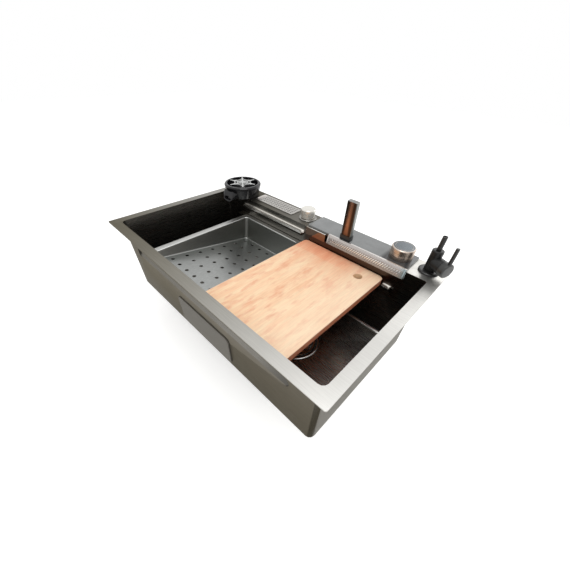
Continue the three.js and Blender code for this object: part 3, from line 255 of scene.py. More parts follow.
def insideMask(tree, low, high, blur=0.0006):
    # 1 inside a box, 0 outside it
    at = place(tree)
    mask = None
    for axis, lowest, highest in zip("XYZ", low, high):
        offset = mathNode(tree, "SUBTRACT", at[axis], (lowest + highest) / 2)
        away = mathNode(tree, "SUBTRACT", mathNode(tree, "ABSOLUTE", offset), (highest - lowest) / 2)
        inside = spread(tree, away, 1, 0, 0.0, blur)
        mask = inside if mask is None else mathNode(tree, "MULTIPLY", mask, inside)
    return mask


def addBump(tree, bsdf, height, strength, distance=0.0002):
    bump = shaderNode(tree, "Bump", {"Height": height, "Strength": strength, "Distance": distance}, "Normal")
    tree.links.new(bump, bsdf.inputs["Normal"])


def dress(tree, bsdf, colour, pattern, rough, *bump):
    # a colour, and a roughness and a fine bump that follow a pattern
    tree.links.new(colour, bsdf.inputs["Base Color"])
    tree.links.new(spread(tree, pattern, *rough), bsdf.inputs["Roughness"])
    if bump:
        addBump(tree, bsdf, pattern, *bump)


bowlFinish = {
    # painted light and shade on the rim: dark at its left end, brightening along a curve towards its right
    # end
    "rimLeftPaintedShade": (0.225, 0.210, 0.172), "rimRightPaintedLight": (0.74, 0.73, 0.70), "rimCurve": 2.2,
    "rimZ": (-0.0009, -0.0006), "halfLength": 0.375,
    # painted light: the rim across the left end is lighter, more so towards the rear
    "sideRim": (0.55, 0.54, 0.51), "sideRimX": (-0.3516, -0.3504), "sideRimY": (-0.23, 0.08),
    # painted shade: the rear deck is darker than the rim at the left end
    "deckLeftPaintedShade": (0.17, 0.16, 0.14), "deckY": (0.1545, 0.1565),
    "glancing": (0.36, 0.35, 0.33),    # keeps the walls dark when they are seen edge on
    # painted light and shade on the outer walls: lighter at the left end and darker towards the right, a
    # lighter right wall, and a tone of its own for the rear wall
    "wallPaintedLitLeft": (0.235, 0.218, 0.182), "wallPaintedShadeRight": (0.180, 0.165, 0.138),
    "rightWallPaintedLight": (0.34, 0.33, 0.31), "back": (0.20, 0.19, 0.17), "wallNormal": (0.4, 0.7),
    # painted shade: the outer walls darken just under the rim
    "underRimPaintedShade": (-0.026, -0.012), "underRimPaintedShadeShare": 0.42,
    "insideBox": ((-0.3512, -0.2052, -0.25), (0.3512, 0.1552, 0.0022)),
    # painted shade: the inner walls darken towards the right end
    "inside": (0.22, 0.21, 0.19), "insideRightPaintedShade": (0.10, 0.095, 0.085), "insideX": (0.20, 0.29),
    # painted light: the bowl's floor is much lighter than the inner walls; painted shade darkens it towards
    # the left, under the colander and the board
    "floor": (0.66, 0.65, 0.62), "floorLeftPaintedShade": (0.30, 0.29, 0.27), "floorX": (0.14, 0.24),
    "floorZ": (-0.200, -0.196),
    # painted shade on the rear wall behind the board
    "paintedShadeBehindBoard": (0.10, 0.075, 0.062), "paintedShadeBehindBoardBlur": 0.01,
    "paintedShadeBehindBoardBox": ((0.006, 0.153, -0.075), (0.300, 0.1570, 0.0)),
    # painted highlights on the tops of the ledges in the rear wall
    "ledge": (1.0, 0.98, 0.94),
    "ledgeTops": (((-0.266, 0.1438, -0.0215), (-0.003, 0.1550, -0.0130)),
                  ((0.262, 0.1438, -0.0538), (0.290, 0.1550, -0.0500))),
    "roughRim": (0.32, 0.42), "roughInside": (0.23, 0.33), "bump": 0.10,
    "hairLines": 0.88, "clouds": (7, (1, 1, 1), 3), "cloudShare": 0.92,
}


def bowlSteel():
    f = bowlFinish
    mat, tree, bsdf = startMaterial("bowl_steel", f["rimRightPaintedLight"], f["roughRim"][0], 1.0)
    bsdf.inputs["Specular Tint"].default_value = (*f["glancing"], 1)
    at = place(tree)
    lines = brushLines(tree)
    along = spread(tree, at["X"], 0, 1, -f["halfLength"], f["halfLength"])
    # painted shade: the rear deck starts from a darker tone at the left end
    onDeck = spread(tree, at["Y"], 0, 1, *f["deckY"])
    # painted light and shade along the rim, from the dark left end to the light right end
    rim = tint(tree, mathNode(tree, "POWER", along, f["rimCurve"]),
               tint(tree, onDeck, f["rimLeftPaintedShade"], f["deckLeftPaintedShade"]), f["rimRightPaintedLight"])
    # painted light on the rim across the left end
    onSide = mathNode(tree, "MULTIPLY", spread(tree, at["X"], 1, 0, *f["sideRimX"]),
                      spread(tree, at["Y"], 0, 1, *f["sideRimY"]))
    rim = tint(tree, onSide, rim, f["sideRim"])
    # painted light and shade on the outer walls: lighter at the left end, darker towards the right, a lighter
    # right wall and a tone of its own for the rear wall
    walls = tint(tree, along, f["wallPaintedLitLeft"], f["wallPaintedShadeRight"])
    walls = tint(tree, spread(tree, facing(tree)["X"], 0, 1, *f["wallNormal"]), walls, f["rightWallPaintedLight"])
    # painted shade just under the rim
    walls = tint(tree, spread(tree, at["Z"], 0, f["underRimPaintedShadeShare"], *f["underRimPaintedShade"]), walls, f["wallPaintedShadeRight"])
    walls = tint(tree, spread(tree, facing(tree)["Y"], 0, 1, *f["wallNormal"]), walls, f["back"])
    outer = tint(tree, spread(tree, at["Z"], 0, 1, *f["rimZ"]), walls, rim)
    # painted shade: the inner walls darker towards the right end
    inner = tint(tree, spread(tree, at["X"], 0, 1, *f["insideX"]), f["inside"], f["insideRightPaintedShade"])
    # painted light on the bowl's floor, with painted shade towards the left under the colander and the board
    floor = tint(tree, spread(tree, at["X"], 0, 1, *f["floorX"]), f["floorLeftPaintedShade"], f["floor"])
    inner = tint(tree, spread(tree, at["Z"], 1, 0, *f["floorZ"]), inner, floor)
    # painted shade on the rear wall behind the board
    shaded = insideMask(tree, *f["paintedShadeBehindBoardBox"], blur=f["paintedShadeBehindBoardBlur"])
    inner = tint(tree, shaded, inner, f["paintedShadeBehindBoard"])
    # painted highlights on the ledge tops
    for ledgeTop in f["ledgeTops"]:
        inner = tint(tree, insideMask(tree, *ledgeTop), inner, f["ledge"])
    mask = insideMask(tree, *f["insideBox"])
    colour = withLines(tree, lines, tint(tree, mask, outer, inner), f["hairLines"])
    colour = withLines(tree, grain(tree, *f["clouds"]), colour, f["cloudShare"])
    tree.links.new(colour, bsdf.inputs["Base Color"])
    rough = mixed(tree, mask, spread(tree, lines, *f["roughRim"]), spread(tree, lines, *f["roughInside"]))
    tree.links.new(rough, bsdf.inputs["Roughness"])
    addBump(tree, bsdf, lines, f["bump"])
    return mat


colanderFinish = {
    # painted light and shade: one steel in three tones, a light flange, dark walls and a lighter floor
    "flange": (0.62, 0.62, 0.60), "wall": (0.25, 0.255, 0.24), "floor": (0.43, 0.44, 0.43),
    "flangeZ": (-0.0522, -0.0518), "floorNormal": (0.5, 0.9),
    "lines": (700, (1, 0.03, 1), 2), "share": 0.82, "rough": (0.28, 0.40), "bump": 0.10,
}


def colanderSteel():
    f = colanderFinish
    mat, tree, bsdf = startMaterial("colander_steel", f["wall"], f["rough"][0], 1.0)
    lines = grain(tree, *f["lines"])
    # painted light and shade: the floor and flange lighter than the walls
    up = spread(tree, facing(tree)["Z"], 0, 1, *f["floorNormal"])
    body = tint(tree, up, f["wall"], f["floor"])
    colour = tint(tree, spread(tree, place(tree)["Z"], 0, 1, *f["flangeZ"]), body, f["flange"])
    dress(tree, bsdf, withLines(tree, lines, colour, f["share"]), lines, f["rough"], f["bump"])
    return mat


grateFinish = {
    "colour": (0.56, 0.54, 0.51), "share": 0.84, "clouds": (25, (1, 1, 1), 4), "cloudShare": 0.88,
    "rough": (0.29, 0.41), "bump": 0.10,
}


def grateSteel():
    f = grateFinish
    mat, tree, bsdf = startMaterial("grate_steel", f["colour"], f["rough"][0], 1.0)
    lines = brushLines(tree)
    clouds = spread(tree, grain(tree, *f["clouds"]))
    colour = tint(tree, clouds, f["colour"], shade(f["colour"], f["cloudShare"]))
    dress(tree, bsdf, withLines(tree, lines, colour, f["share"]), lines, f["rough"], f["bump"])
    return mat


def polished(name, colour, rough, scale=60, detail=5, share=0.90):
    # smooth metal with faint smears
    mat, tree, bsdf = startMaterial(name, colour, rough[0], 1.0)
    smears = grain(tree, scale, detail=detail)
    dress(tree, bsdf, tint(tree, spread(tree, smears), colour, shade(colour, share)), smears, rough)
    return mat


barFinish = {
    # painted light: the top of the bar is lighter; painted reflection: the right end is darker and bluer
    "face": (0.53, 0.485, 0.46), "top": (0.72, 0.69, 0.66), "end": (0.34, 0.40, 0.41),
    "topNormal": (0.75, 0.95), "endX": (0.286, 0.300),
    "lines": (900, (0.02, 1, 1), 2), "share": 0.86, "rough": (0.21, 0.32), "bump": 0.08,
}


def barSteel():
    f = barFinish
    mat, tree, bsdf = startMaterial("bar_steel", f["face"], f["rough"][0], 1.0)
    lines = grain(tree, *f["lines"])
    # painted reflection: darker and bluer towards the right end
    colour = tint(tree, spread(tree, place(tree)["X"], 0, 1, *f["endX"]), f["face"], f["end"])
    # painted light on the top of the bar
    colour = tint(tree, spread(tree, facing(tree)["Z"], 0, 1, *f["topNormal"]), colour, f["top"])
    dress(tree, bsdf, withLines(tree, lines, colour, f["share"]), lines, f["rough"], f["bump"])
    return mat


knobFinish = {
    # on the mixer knob the dark top and the copper side are painted reflections, and the light outer ring of
    # the top is a painted highlight
    "mixer": {"centre": (0.2655, 0.197), "radius": 0.0273, "metal": 1.0, "rough": (0.24, 0.36),
              "top": (0.105, 0.120, 0.130), "side": (0.82, 0.68, 0.58), "edge": (0.62, 0.57, 0.52),
              "bands": 60.0, "bandShare": 0.55},
    "drain": {"centre": (-0.0245, 0.195), "radius": 0.0214, "metal": 0.5, "rough": (0.14, 0.26),
              "top": (0.86, 0.84, 0.78), "side": (0.93, 0.90, 0.83), "edge": (0.90, 0.88, 0.84),
              "bands": 90.0, "bandShare": 0.70},
    "rings": 2600, "ringShare": 0.82, "topNormal": (0.80, 0.97), "edgeBand": (0.86, 0.93),
    "bandStretch": (1, 1, 8), "bump": (0.12, 0.0001),
}


def turnedKnob(name, knob):
    # rings cut on the top by the lathe, and bands round the side
    f = knobFinish
    k = f[knob]
    mat, tree, bsdf = startMaterial(name, k["side"], k["rough"][0], k["metal"])
    at = place(tree)
    dx = mathNode(tree, "SUBTRACT", at["X"], k["centre"][0])
    dy = mathNode(tree, "SUBTRACT", at["Y"], k["centre"][1])
    away = mathNode(tree, "SQRT", mathNode(tree, "ADD", mathNode(tree, "MULTIPLY", dx, dx),
                                           mathNode(tree, "MULTIPLY", dy, dy)))
    line = shaderNode(tree, "CombineXYZ", {"X": away, "Z": at["Z"]}, "Vector")
    rings = grain(tree, f["rings"], detail=2, source=line)
    bands = grain(tree, k["bands"], f["bandStretch"], 2, source=line)
    up = spread(tree, facing(tree)["Z"], 0, 1, *f["topNormal"])
    side = tint(tree, spread(tree, bands), k["side"], shade(k["side"], k["bandShare"]))
    edge = spread(tree, away, 0, 1, *(k["radius"] * share for share in f["edgeBand"]))
    # the top, the outer ring of the top and the side get tones of their own: painted reflections and a
    # painted highlight on the mixer knob
    colour = tint(tree, up, side, tint(tree, edge, k["top"], k["edge"]))
    dress(tree, bsdf, withLines(tree, rings, colour, f["ringShare"]), rings, k["rough"], *f["bump"])
    return mat


panelFinish = {
    "face": (0.19, 0.198, 0.198), "haze": (0.235, 0.242, 0.242), "hazeGrain": (38, (1, 1, 1), 5),
    "knobSeat": ((0.238, 0.150, 0.0), (0.302, 0.2285, 0.02)), "seatBlur": 0.010, "seatShare": 0.85,
    "seat": (0.015, 0.015, 0.017), "rough": (0.05, 0.13), "ior": 1.45,
}


def tintedGlass():
    f = panelFinish
    mat, tree, bsdf = startMaterial("panel_glass", f["face"], f["rough"][0])
    haze = grain(tree, *f["hazeGrain"])
    colour = tint(tree, spread(tree, haze), f["face"], f["haze"])
    mask = mathNode(tree, "MULTIPLY", insideMask(tree, *f["knobSeat"], blur=f["seatBlur"]), f["seatShare"])
    dress(tree, bsdf, tint(tree, mask, colour, f["seat"]), haze, f["rough"])
    bsdf.inputs["IOR"].default_value = f["ior"]
    return mat


def paint(name, colour, rough, speckle=1400, share=1.5, bump=0.06, ior=1.5):
    mat, tree, bsdf = startMaterial(name, colour, rough[0])
    speck = grain(tree, speckle, detail=2)
    specked = tint(tree, spread(tree, speck), colour, shade(colour, share))
    dress(tree, bsdf, specked, speck, rough, bump)
    bsdf.inputs["IOR"].default_value = ior
    return mat


def moulded(name, colour, rough=(0.44, 0.58), pebbles=1800, share=0.8, bump=0.15):
    mat, tree, bsdf = startMaterial(name, colour, rough[0])
    pebble = grain(tree, pebbles, detail=3)
    grained = tint(tree, spread(tree, pebble), colour, shade(colour, share))
    dress(tree, bsdf, grained, pebble, rough, bump)
    return mat


brassFinish = {
    "pale": (0.66, 0.49, 0.24), "deep": (0.50, 0.37, 0.17),
    "rings": (700, (0.05, 0.05, 1), 2), "rough": (0.28, 0.42), "bump": 0.15,
}


def machinedBrass():
    f = brassFinish
    mat, tree, bsdf = startMaterial("brass", f["pale"], f["rough"][0], 1.0)
    rings = grain(tree, *f["rings"])
    dress(tree, bsdf, tint(tree, spread(tree, rings), f["pale"], f["deep"]), rings, f["rough"], f["bump"])
    return mat


padFinish = {
    "dark": (0.160, 0.150, 0.128), "pale": (0.198, 0.184, 0.160), "felt": (500, (1, 1, 1), 6),
    "rough": 0.75, "bump": 0.35,
}


def soundPad():
    f = padFinish
    mat, tree, bsdf = startMaterial("pad", f["dark"], f["rough"])
    felt = grain(tree, *f["felt"])
    tree.links.new(tint(tree, spread(tree, felt), f["dark"], f["pale"]), bsdf.inputs["Base Color"])
    addBump(tree, bsdf, felt, f["bump"])
    return mat


boardFinish = {
    "pale": (0.98, 0.72, 0.47), "middle": (0.92, 0.55, 0.33),
    "streaks": (60, (1.0, 0.10, 1.0), 9), "streakRange": (0, 1, 0.40, 0.64),
    "pink": (0.83, 0.39, 0.23), "blotches": (62, (0.9, 0.30, 1.0), 9), "blotchRange": (0, 0.72, 0.50, 0.66),
    # painted light: the board lightens towards its right end
    "paintedLightRight": (1.0, 0.80, 0.59), "paintedLightRightRange": (0, 0.45, 0.13, 0.24),
    # the red rear end: a band, a fade towards it, and the reach of both along X
    "red": (0.94, 0.33, 0.17), "band": (0, 0.22, 0.104, 0.108), "fade": (0, 0.46, 0.05, 0.14),
    "redReach": (1, 0.12, 0.10, 0.23),
    # the edges get a deeper, redder tone than the top: wood tone with painted shade
    "side": (0.98, 0.34, 0.17), "sideShare": 0.7, "sideLines": 0.8, "topZ": (-0.0362, -0.0354),
    "hole": (1.0, 0.72, 0.46), "holeBox": ((0.2005, 0.0985, -0.06), (0.2255, 0.1235, -0.0355)),
    "fibres": (420, (1.0, 0.08, 1.0), 3), "fibreShare": 0.90, "rough": (0.42, 0.60), "bump": 0.10,
}


def boardWood():
    f = boardFinish
    mat, tree, bsdf = startMaterial("board_wood", f["middle"], f["rough"][0])
    at = place(tree)
    fibre = grain(tree, *f["fibres"])
    streaks = spread(tree, grain(tree, *f["streaks"]), *f["streakRange"])
    blotch = spread(tree, grain(tree, *f["blotches"]), *f["blotchRange"])
    colour = tint(tree, blotch, tint(tree, streaks, f["pale"], f["middle"]), f["pink"])
    # painted light towards the right end of the board
    colour = tint(tree, spread(tree, at["X"], *f["paintedLightRightRange"]), colour, f["paintedLightRight"])
    rear = mathNode(tree, "ADD", spread(tree, at["Y"], *f["band"]), spread(tree, at["Y"], *f["fade"]))
    reach = mathNode(tree, "MULTIPLY", rear, spread(tree, at["X"], *f["redReach"]))
    colour = withLines(tree, fibre, tint(tree, reach, colour, f["red"]), f["fibreShare"])
    below = spread(tree, at["Z"], 1, 0, *f["topZ"])
    # wood tone with painted shade on the edges
    side = tint(tree, blotch, f["side"], shade(f["side"], f["sideShare"]))
    side = withLines(tree, fibre, side, f["sideLines"])
    side = tint(tree, insideMask(tree, *f["holeBox"]), side, f["hole"])
    dress(tree, bsdf, tint(tree, below, colour, side), fibre, f["rough"], f["bump"])
    return mat


outletFinish = {
    # painted reflection: the front is a copper-brown; painted light: the top is light
    "front": (0.235, 0.155, 0.115), "top": (0.74, 0.72, 0.68), "topNormal": (0.6, 0.9),
    "smears": (45, (1, 1, 1), 5), "share": 0.86, "rough": (0.04, 0.10),
}


def outletMirror():
    f = outletFinish
    mat, tree, bsdf = startMaterial("outlet_mirror", f["front"], f["rough"][0], 1.0)
    smears = grain(tree, *f["smears"])
    # painted light on the top over the painted reflection on the front
    colour = tint(tree, spread(tree, facing(tree)["Z"], 0, 1, *f["topNormal"]), f["front"], f["top"])
    dress(tree, bsdf, withLines(tree, smears, colour, f["share"]), smears, f["rough"])
    return mat


columnFinish = {
    # painted reflection: a copper front and grey sides on one mirror
    "front": (0.47, 0.24, 0.155), "sides": (0.30, 0.31, 0.30), "frontNormal": (-0.97, -0.80),
    # painted reflection: the front darkens along its edges and at its foot, as a mirror does in a dark room
    "dark": (0.045, 0.030, 0.022), "paintedDarkShare": 0.96, "middle": 0.1275, "edges": (0.0010, 0.0072),
    "foot": (0.010, 0.050), "smears": (40, (1, 1, 0.15), 4), "share": 0.86, "rough": (0.24, 0.32),
}


def columnMirror():
    f = columnFinish
    mat, tree, bsdf = startMaterial("column_mirror", f["front"], f["rough"][0], 1.0)
    at = place(tree)
    smears = grain(tree, *f["smears"])
    front = spread(tree, facing(tree)["Y"], 1, 0, *f["frontNormal"])
    away = mathNode(tree, "ABSOLUTE", mathNode(tree, "SUBTRACT", at["X"], f["middle"]))
    # painted reflection: dark along the edges of the front and at its foot
    dark = mathNode(tree, "MAXIMUM", spread(tree, away, 0, f["paintedDarkShare"], *f["edges"]),
                    spread(tree, at["Z"], f["paintedDarkShare"], 0, *f["foot"]))
    # painted reflection: copper front, grey sides
    colour = tint(tree, front, f["sides"], tint(tree, dark, f["front"], f["dark"]))
    dress(tree, bsdf, withLines(tree, smears, colour, f["share"]), smears, f["rough"])
    return mat


finishes = {
    "bowl_steel": bowlSteel(),
    "colander_steel": colanderSteel(),
    "polished_steel": polished("polished_steel", (0.78, 0.77, 0.745), (0.09, 0.19)),
    "bar_steel": barSteel(),
    "knob_steel": turnedKnob("knob_steel", "mixer"),
    "mirror_dark": polished("mirror_dark", (0.50, 0.42, 0.38), (0.04, 0.10)),
    "panel_glass": tintedGlass(),
    "black_paint": paint("black_paint", (0.012, 0.012, 0.012), (0.30, 0.42)),
    "black_plastic": moulded("black_plastic", (0.014, 0.014, 0.014)),
    "grey_plastic": moulded("grey_plastic", (0.30, 0.31, 0.31)),
    "brass": machinedBrass(),
    "rubber": moulded("rubber", (0.018, 0.018, 0.017), (0.74, 0.88)),
    "pad": soundPad(),
    "board_wood": boardWood(),
}
# pieces that look unlike the rest of their slot
ownFinish = {
    "drain_knob": turnedKnob("small_knob_steel", "drain"),
    "rinser_pan": paint("gloss_black", (0.006, 0.006, 0.007), (0.08, 0.15), speckle=300, bump=0.02, ior=1.38),
    "rinser_star": polished("star_steel", (0.60, 0.61, 0.60), (0.12, 0.22)),
    "deck_grate": grateSteel(),
    "waterfall_outlet": outletMirror(),
    # painted shade: a darker steel on the seat of the small knob
    "drain_knob_base": polished("knob_seat_painted_shade", (0.30, 0.29, 0.27), (0.22, 0.34)),
    "tap_body": paint("black_paint_deep", (0.006, 0.006, 0.006), (0.36, 0.48), ior=1.42),
    # painted sheen: a lighter black on the lever cap than on the tap body
    "tap_lever_cap": paint("black_paint_painted_sheen", (0.030, 0.031, 0.030), (0.28, 0.40)),
    "rain_bar_nozzle_strip": polished("nozzle_strip", (0.98, 0.97, 0.95), (0.26, 0.34)),
    "drip_tray": polished("tray_steel", (0.10, 0.10, 0.095), (0.30, 0.42)),
    "tap_column": columnMirror(),
}
print("finishes made:", len(finishes) + len(ownFinish))


roundSteps = 96     # sides of a large turned piece
creaseAngle = 32    # degrees between two faces from which a plain piece has an edge


def addPiece(name, bm, slot, body, size=mm, sharp=30):
    bmesh.ops.scale(bm, vec=(size, size, size), verts=bm.verts)
    for face in bm.faces:
        face.smooth = True
    for line in bm.edges:
        line.smooth = line.calc_face_angle(0) < math.radians(sharp)
    piece = fromMesh(name, bm)
    piece.data.materials.append(ownFinish.get(name.removeprefix("vis_"), finishes[slot]))
    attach(piece, body)
    return piece


def addNode(node, bm, edge=0.0, sheet=0.0, sharp=30):
    # a finer piece in the place of a CAD node
    piece = addPiece("vis_" + node, bm, slotOf[node], bodyOf[node], sharp=sharp)
    if sheet:
        thickenSheet(piece, sheet)
    if edge:
        softenEdges(piece, edge * mm)
    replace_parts(piece, node)
    return piece


def thickenSheet(piece, thickness):
    solid = piece.modifiers.new("sheet", "SOLIDIFY")
    solid.thickness = thickness * mm
    solid.offset = -1
    solid.use_even_offset = True


def softenEdges(piece, width, segments=2):
    bevel = piece.modifiers.new("edges", "BEVEL")
    bevel.width = width
    bevel.segments = segments
    bevel.limit_method = "ANGLE"
    bevel.angle_limit = math.radians(creaseAngle)
    bevel.harden_normals = True
    bevel.use_clamp_overlap = True


def smoothCopy(node, edge):
    # a merged, smooth-shaded copy of a CAD node with its sharp edges broken
    bm = bmesh.new()
    bm.from_mesh(frame["nodes"][node].data)
    bmesh.ops.remove_doubles(bm, verts=bm.verts, dist=0.00001)
    bmesh.ops.dissolve_limit(bm, angle_limit=math.radians(0.5), verts=bm.verts, edges=bm.edges)
    piece = addPiece("vis_" + node, bm, slotOf[node], bodyOf[node], size=1, sharp=creaseAngle)
    if edge:
        softenEdges(piece, edge)
    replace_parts(piece, node)


def cut(bm, items, width, affect, segments=4):
    bmesh.ops.bevel(bm, geom=items, offset=width, offset_type="OFFSET", affect=affect, segments=segments,
                    profile=0.5, material=-1)


def lathe(profile, x=0, y=0, steps=roundSteps, angle=math.tau, closed=True):
    # spins (radius, height) points about an upright axis; a third number rounds that corner
    bm = bmesh.new()
    verts = [bm.verts.new((point[0], 0, point[1])) for point in profile]
    onAxis = profile[0][0] == 0 and profile[-1][0] == 0
    pairs = list(zip(verts, verts[1:]))
    if closed and not onAxis:
        pairs.append((verts[-1], verts[0]))
    for pair in pairs:
        bm.edges.new(pair)
    for vert, point in zip(verts, profile):
        if len(point) > 2:
            cut(bm, [vert], point[2], "VERTICES")
    bmesh.ops.spin(bm, geom=bm.verts[:] + bm.edges[:], cent=(0, 0, 0), axis=(0, 0, 1), dvec=(0, 0, 0),
                   angle=angle, steps=steps, use_merge=angle == math.tau, use_duplicate=False)
    bmesh.ops.remove_doubles(bm, verts=bm.verts, dist=0.0001)
    if angle != math.tau:
        openEdges = [line for line in bm.edges if line.is_boundary]
        bmesh.ops.holes_fill(bm, edges=openEdges, sides=0)
    bmesh.ops.recalc_face_normals(bm, faces=bm.faces)
    bmesh.ops.translate(bm, vec=(x, y, 0), verts=bm.verts)
    return bm


def placed(bm, matrix):
    bmesh.ops.transform(bm, matrix=matrix, verts=bm.verts)
    return bm


def turned(degrees, axis="Z"):
    return Matrix.Rotation(math.radians(degrees), 4, axis)


def joined(*parts):
    whole = bmesh.new()
    for part in parts:
        carrier = bpy.data.meshes.new("carrier")
        part.to_mesh(carrier)
        part.free()
        whole.from_mesh(carrier)
        bpy.data.meshes.remove(carrier)
    return whole


def block(x0, x1, y0, y1, z0, z1):
    bm = bmesh.new()
    bmesh.ops.create_cube(bm, size=1)
    bmesh.ops.scale(bm, vec=(x1 - x0, y1 - y0, z1 - z0), verts=bm.verts)
    bmesh.ops.translate(bm, vec=((x0 + x1) / 2, (y0 + y1) / 2, (z0 + z1) / 2), verts=bm.verts)
    return bm


def prism(corners, direction):
    # a flat polygon drawn out along a direction
    bm = bmesh.new()
    face = bm.faces.new([bm.verts.new(corner) for corner in corners])
    out = bmesh.ops.extrude_face_region(bm, geom=[face], use_keep_orig=True)
    moving = [item for item in out["geom"] if isinstance(item, bmesh.types.BMVert)]
    bmesh.ops.translate(bm, vec=direction, verts=moving)
    bmesh.ops.recalc_face_normals(bm, faces=bm.faces)
    return bm


def roundEdges(bm, chosen, width, segments=4):
    cut(bm, [line for line in bm.edges if chosen(line)], width, "EDGES", segments)
    return bm


def ringAngle(u, v):
    # the side of a square cell runs over a quarter of a round hole
    if abs(u) >= abs(v):
        return math.radians(45 * v / u if u > 0 else 180 + 45 * v / u)
    return math.radians(90 - 45 * u / v if v > 0 else 270 - 45 * u / v)


def sign(value, none=0.01):
    return 0 if abs(value) < none else math.copysign(1, value)


def among(value, centres, near=0.05):
    return any(abs(value - centre) < near for centre in centres)


def perforated(spanX, spanY, holesX, holesY, cell, radius, longX=0.0, longY=0.0, ring=0.15):
    # a flat sheet with a rounded hole or slot in the middle of each cell
    xs = [spanX[0]] + [x + side * cell[0] for x in holesX for side in (-1, 1)] + [spanX[1]]
    ys = [spanY[0]] + [y + side * cell[1] for y in holesY for side in (-1, 1)] + [spanY[1]]
    bm = bmesh.new()
    bmesh.ops.create_grid(bm, x_segments=len(xs) - 1, y_segments=len(ys) - 1, size=1)
    for vert in bm.verts:
        column = round((vert.co.x + 1) / 2 * (len(xs) - 1))
        row = round((vert.co.y + 1) / 2 * (len(ys) - 1))
        vert.co = (xs[column], ys[row], 0)

    def cells():
        centres = [(face, face.calc_center_bounds()) for face in bm.faces]
        return [face for face, centre in centres if among(centre.x, holesX) and among(centre.y, holesY)]

    sides = list({line for face in cells() for line in face.edges})
    bmesh.ops.subdivide_edges(bm, edges=sides, cuts=3)
    holes = cells()
    bmesh.ops.inset_individual(bm, faces=holes, thickness=min(cell) * ring, use_even_offset=True)
    for face in holes:
        centre = face.calc_center_bounds()
        half = max(abs(vert.co.x - centre.x) for vert in face.verts)
        rise = max(abs(vert.co.y - centre.y) for vert in face.verts)
        for vert in face.verts:
            turn = ringAngle((vert.co.x - centre.x) / half, (vert.co.y - centre.y) / rise)
            along, across = math.cos(turn), math.sin(turn)
            vert.co.x = centre.x + radius * along + longX * sign(along)
            vert.co.y = centre.y + radius * across + longY * sign(across)
    bmesh.ops.delete(bm, geom=holes, context="FACES_ONLY")
    return bm


def roundCorners(bm, radius, segments=6):
    # the four corners of a flat sheet
    outer = [vert for vert in bm.verts if len(vert.link_edges) == 2 and len(vert.link_faces) == 1]
    corners = [vert for vert in outer if abs(vert.calc_edge_angle(0) - math.pi / 2) < 0.1]
    cut(bm, corners, radius, "VERTICES", segments)
    return bm


def drawnOut(bm, rim, moved):
    # adds a strip along a rim, with the places of its far vertices from moved, and returns the new rim
    out = bmesh.ops.extrude_edge_only(bm, edges=rim)["geom"]
    for vert in [item for item in out if isinstance(item, bmesh.types.BMVert)]:
        vert.co = moved(vert.co)
    return [item for item in out if isinstance(item, bmesh.types.BMEdge)]


def faceUp(bm, above=-math.inf):
    # turns a sheet over if its faces, or those above a height, look down
    bmesh.ops.recalc_face_normals(bm, faces=bm.faces)
    chosen = [face for face in bm.faces if face.calc_center_median().z > above]
    if sum(face.normal.z * face.calc_area() for face in chosen) < 0:
        bmesh.ops.reverse_faces(bm, faces=bm.faces)


knobShape = {
    "drain": {"x": -24.5, "y": 195, "radius": 21.4, "waist": 19.8, "foot": 6.6, "top": 31.1, "bore": 4.3},
    "mixer": {"x": 265.5, "y": 197, "radius": 27.3, "foot": 8.3, "top": 35.8, "hollow": 22.3, "ceiling": 15.3,
              "bore": 4.9, "boreTop": 24.6},
    "drainBase": {"radius": 26, "z": (3.3, 6.3), "bore": 4.3, "sleeve": (9, -28)},
}


def makeKnobs():
    k = knobShape["drain"]
    foot, top, r, waist = k["foot"], k["top"], k["radius"], k["waist"]
    addNode("drain_knob", lathe([
        (0, top), (r - 1.9, top, 0.3), (r, top - 1.9, 0.5), (r, foot + 15, 2), (waist, foot + 12.5, 2),
        (waist, foot + 1.6, 0.3), (waist - 0.8, foot + 1.2, 0.2), (waist - 0.8, foot, 0.1), (k["bore"], foot),
        (k["bore"], top - 6), (0, top - 6)], k["x"], k["y"]))
    m = knobShape["mixer"]
    foot, top, r = m["foot"], m["top"], m["radius"]
    addNode("mixer_knob", lathe([
        (0, top), (r - 7.5, top), (r - 7.1, top - 0.25, 0.1), (r - 6.7, top), (r - 2.0, top, 0.3),
        (r, top - 2.0, 0.5), (r, foot + 2.4, 0.2), (r - 0.6, foot + 1.9, 0.1), (r - 0.6, foot, 0.2),
        (m["hollow"], foot, 0.2), (m["hollow"], m["ceiling"]), (m["bore"], m["ceiling"]),
        (m["bore"], m["boreTop"]), (0, m["boreTop"])], m["x"], m["y"]))
    b = knobShape["drainBase"]
    low, high = b["z"]
    sleeve, end = b["sleeve"]
    addNode("drain_knob_base", lathe([
        (b["bore"], high), (b["radius"] - 1.5, high, 0.4), (b["radius"], high - 1.3, 0.4),
        (b["radius"], low, 0.1), (sleeve, low), (sleeve, end), (b["bore"], end)], k["x"], k["y"]))


rinserShape = {
    "x": -290, "y": 171, "top": 39.3, "foot": 3.3, "topRadius": 59, "footRadius": 51, "floor": 12.3,
    "cavity": 50, "cavityFoot": 46, "boss": (7.5, 22.3), "bore": (4.8, 11.3), "rootRadius": 50,
    # the nose from its root to its lip: reach from the middle, half width, lowest, highest
    "nose": ((50, 31, 4.0, 29.0), (56, 29, 2.5, 27.5), (61, 24.5, -0.6, 21.0), (64.5, 19, -2.2, 12.5)),
    "squareness": 0.72, "lean": 1.5, "mouth": (3.2, 7.0),
}


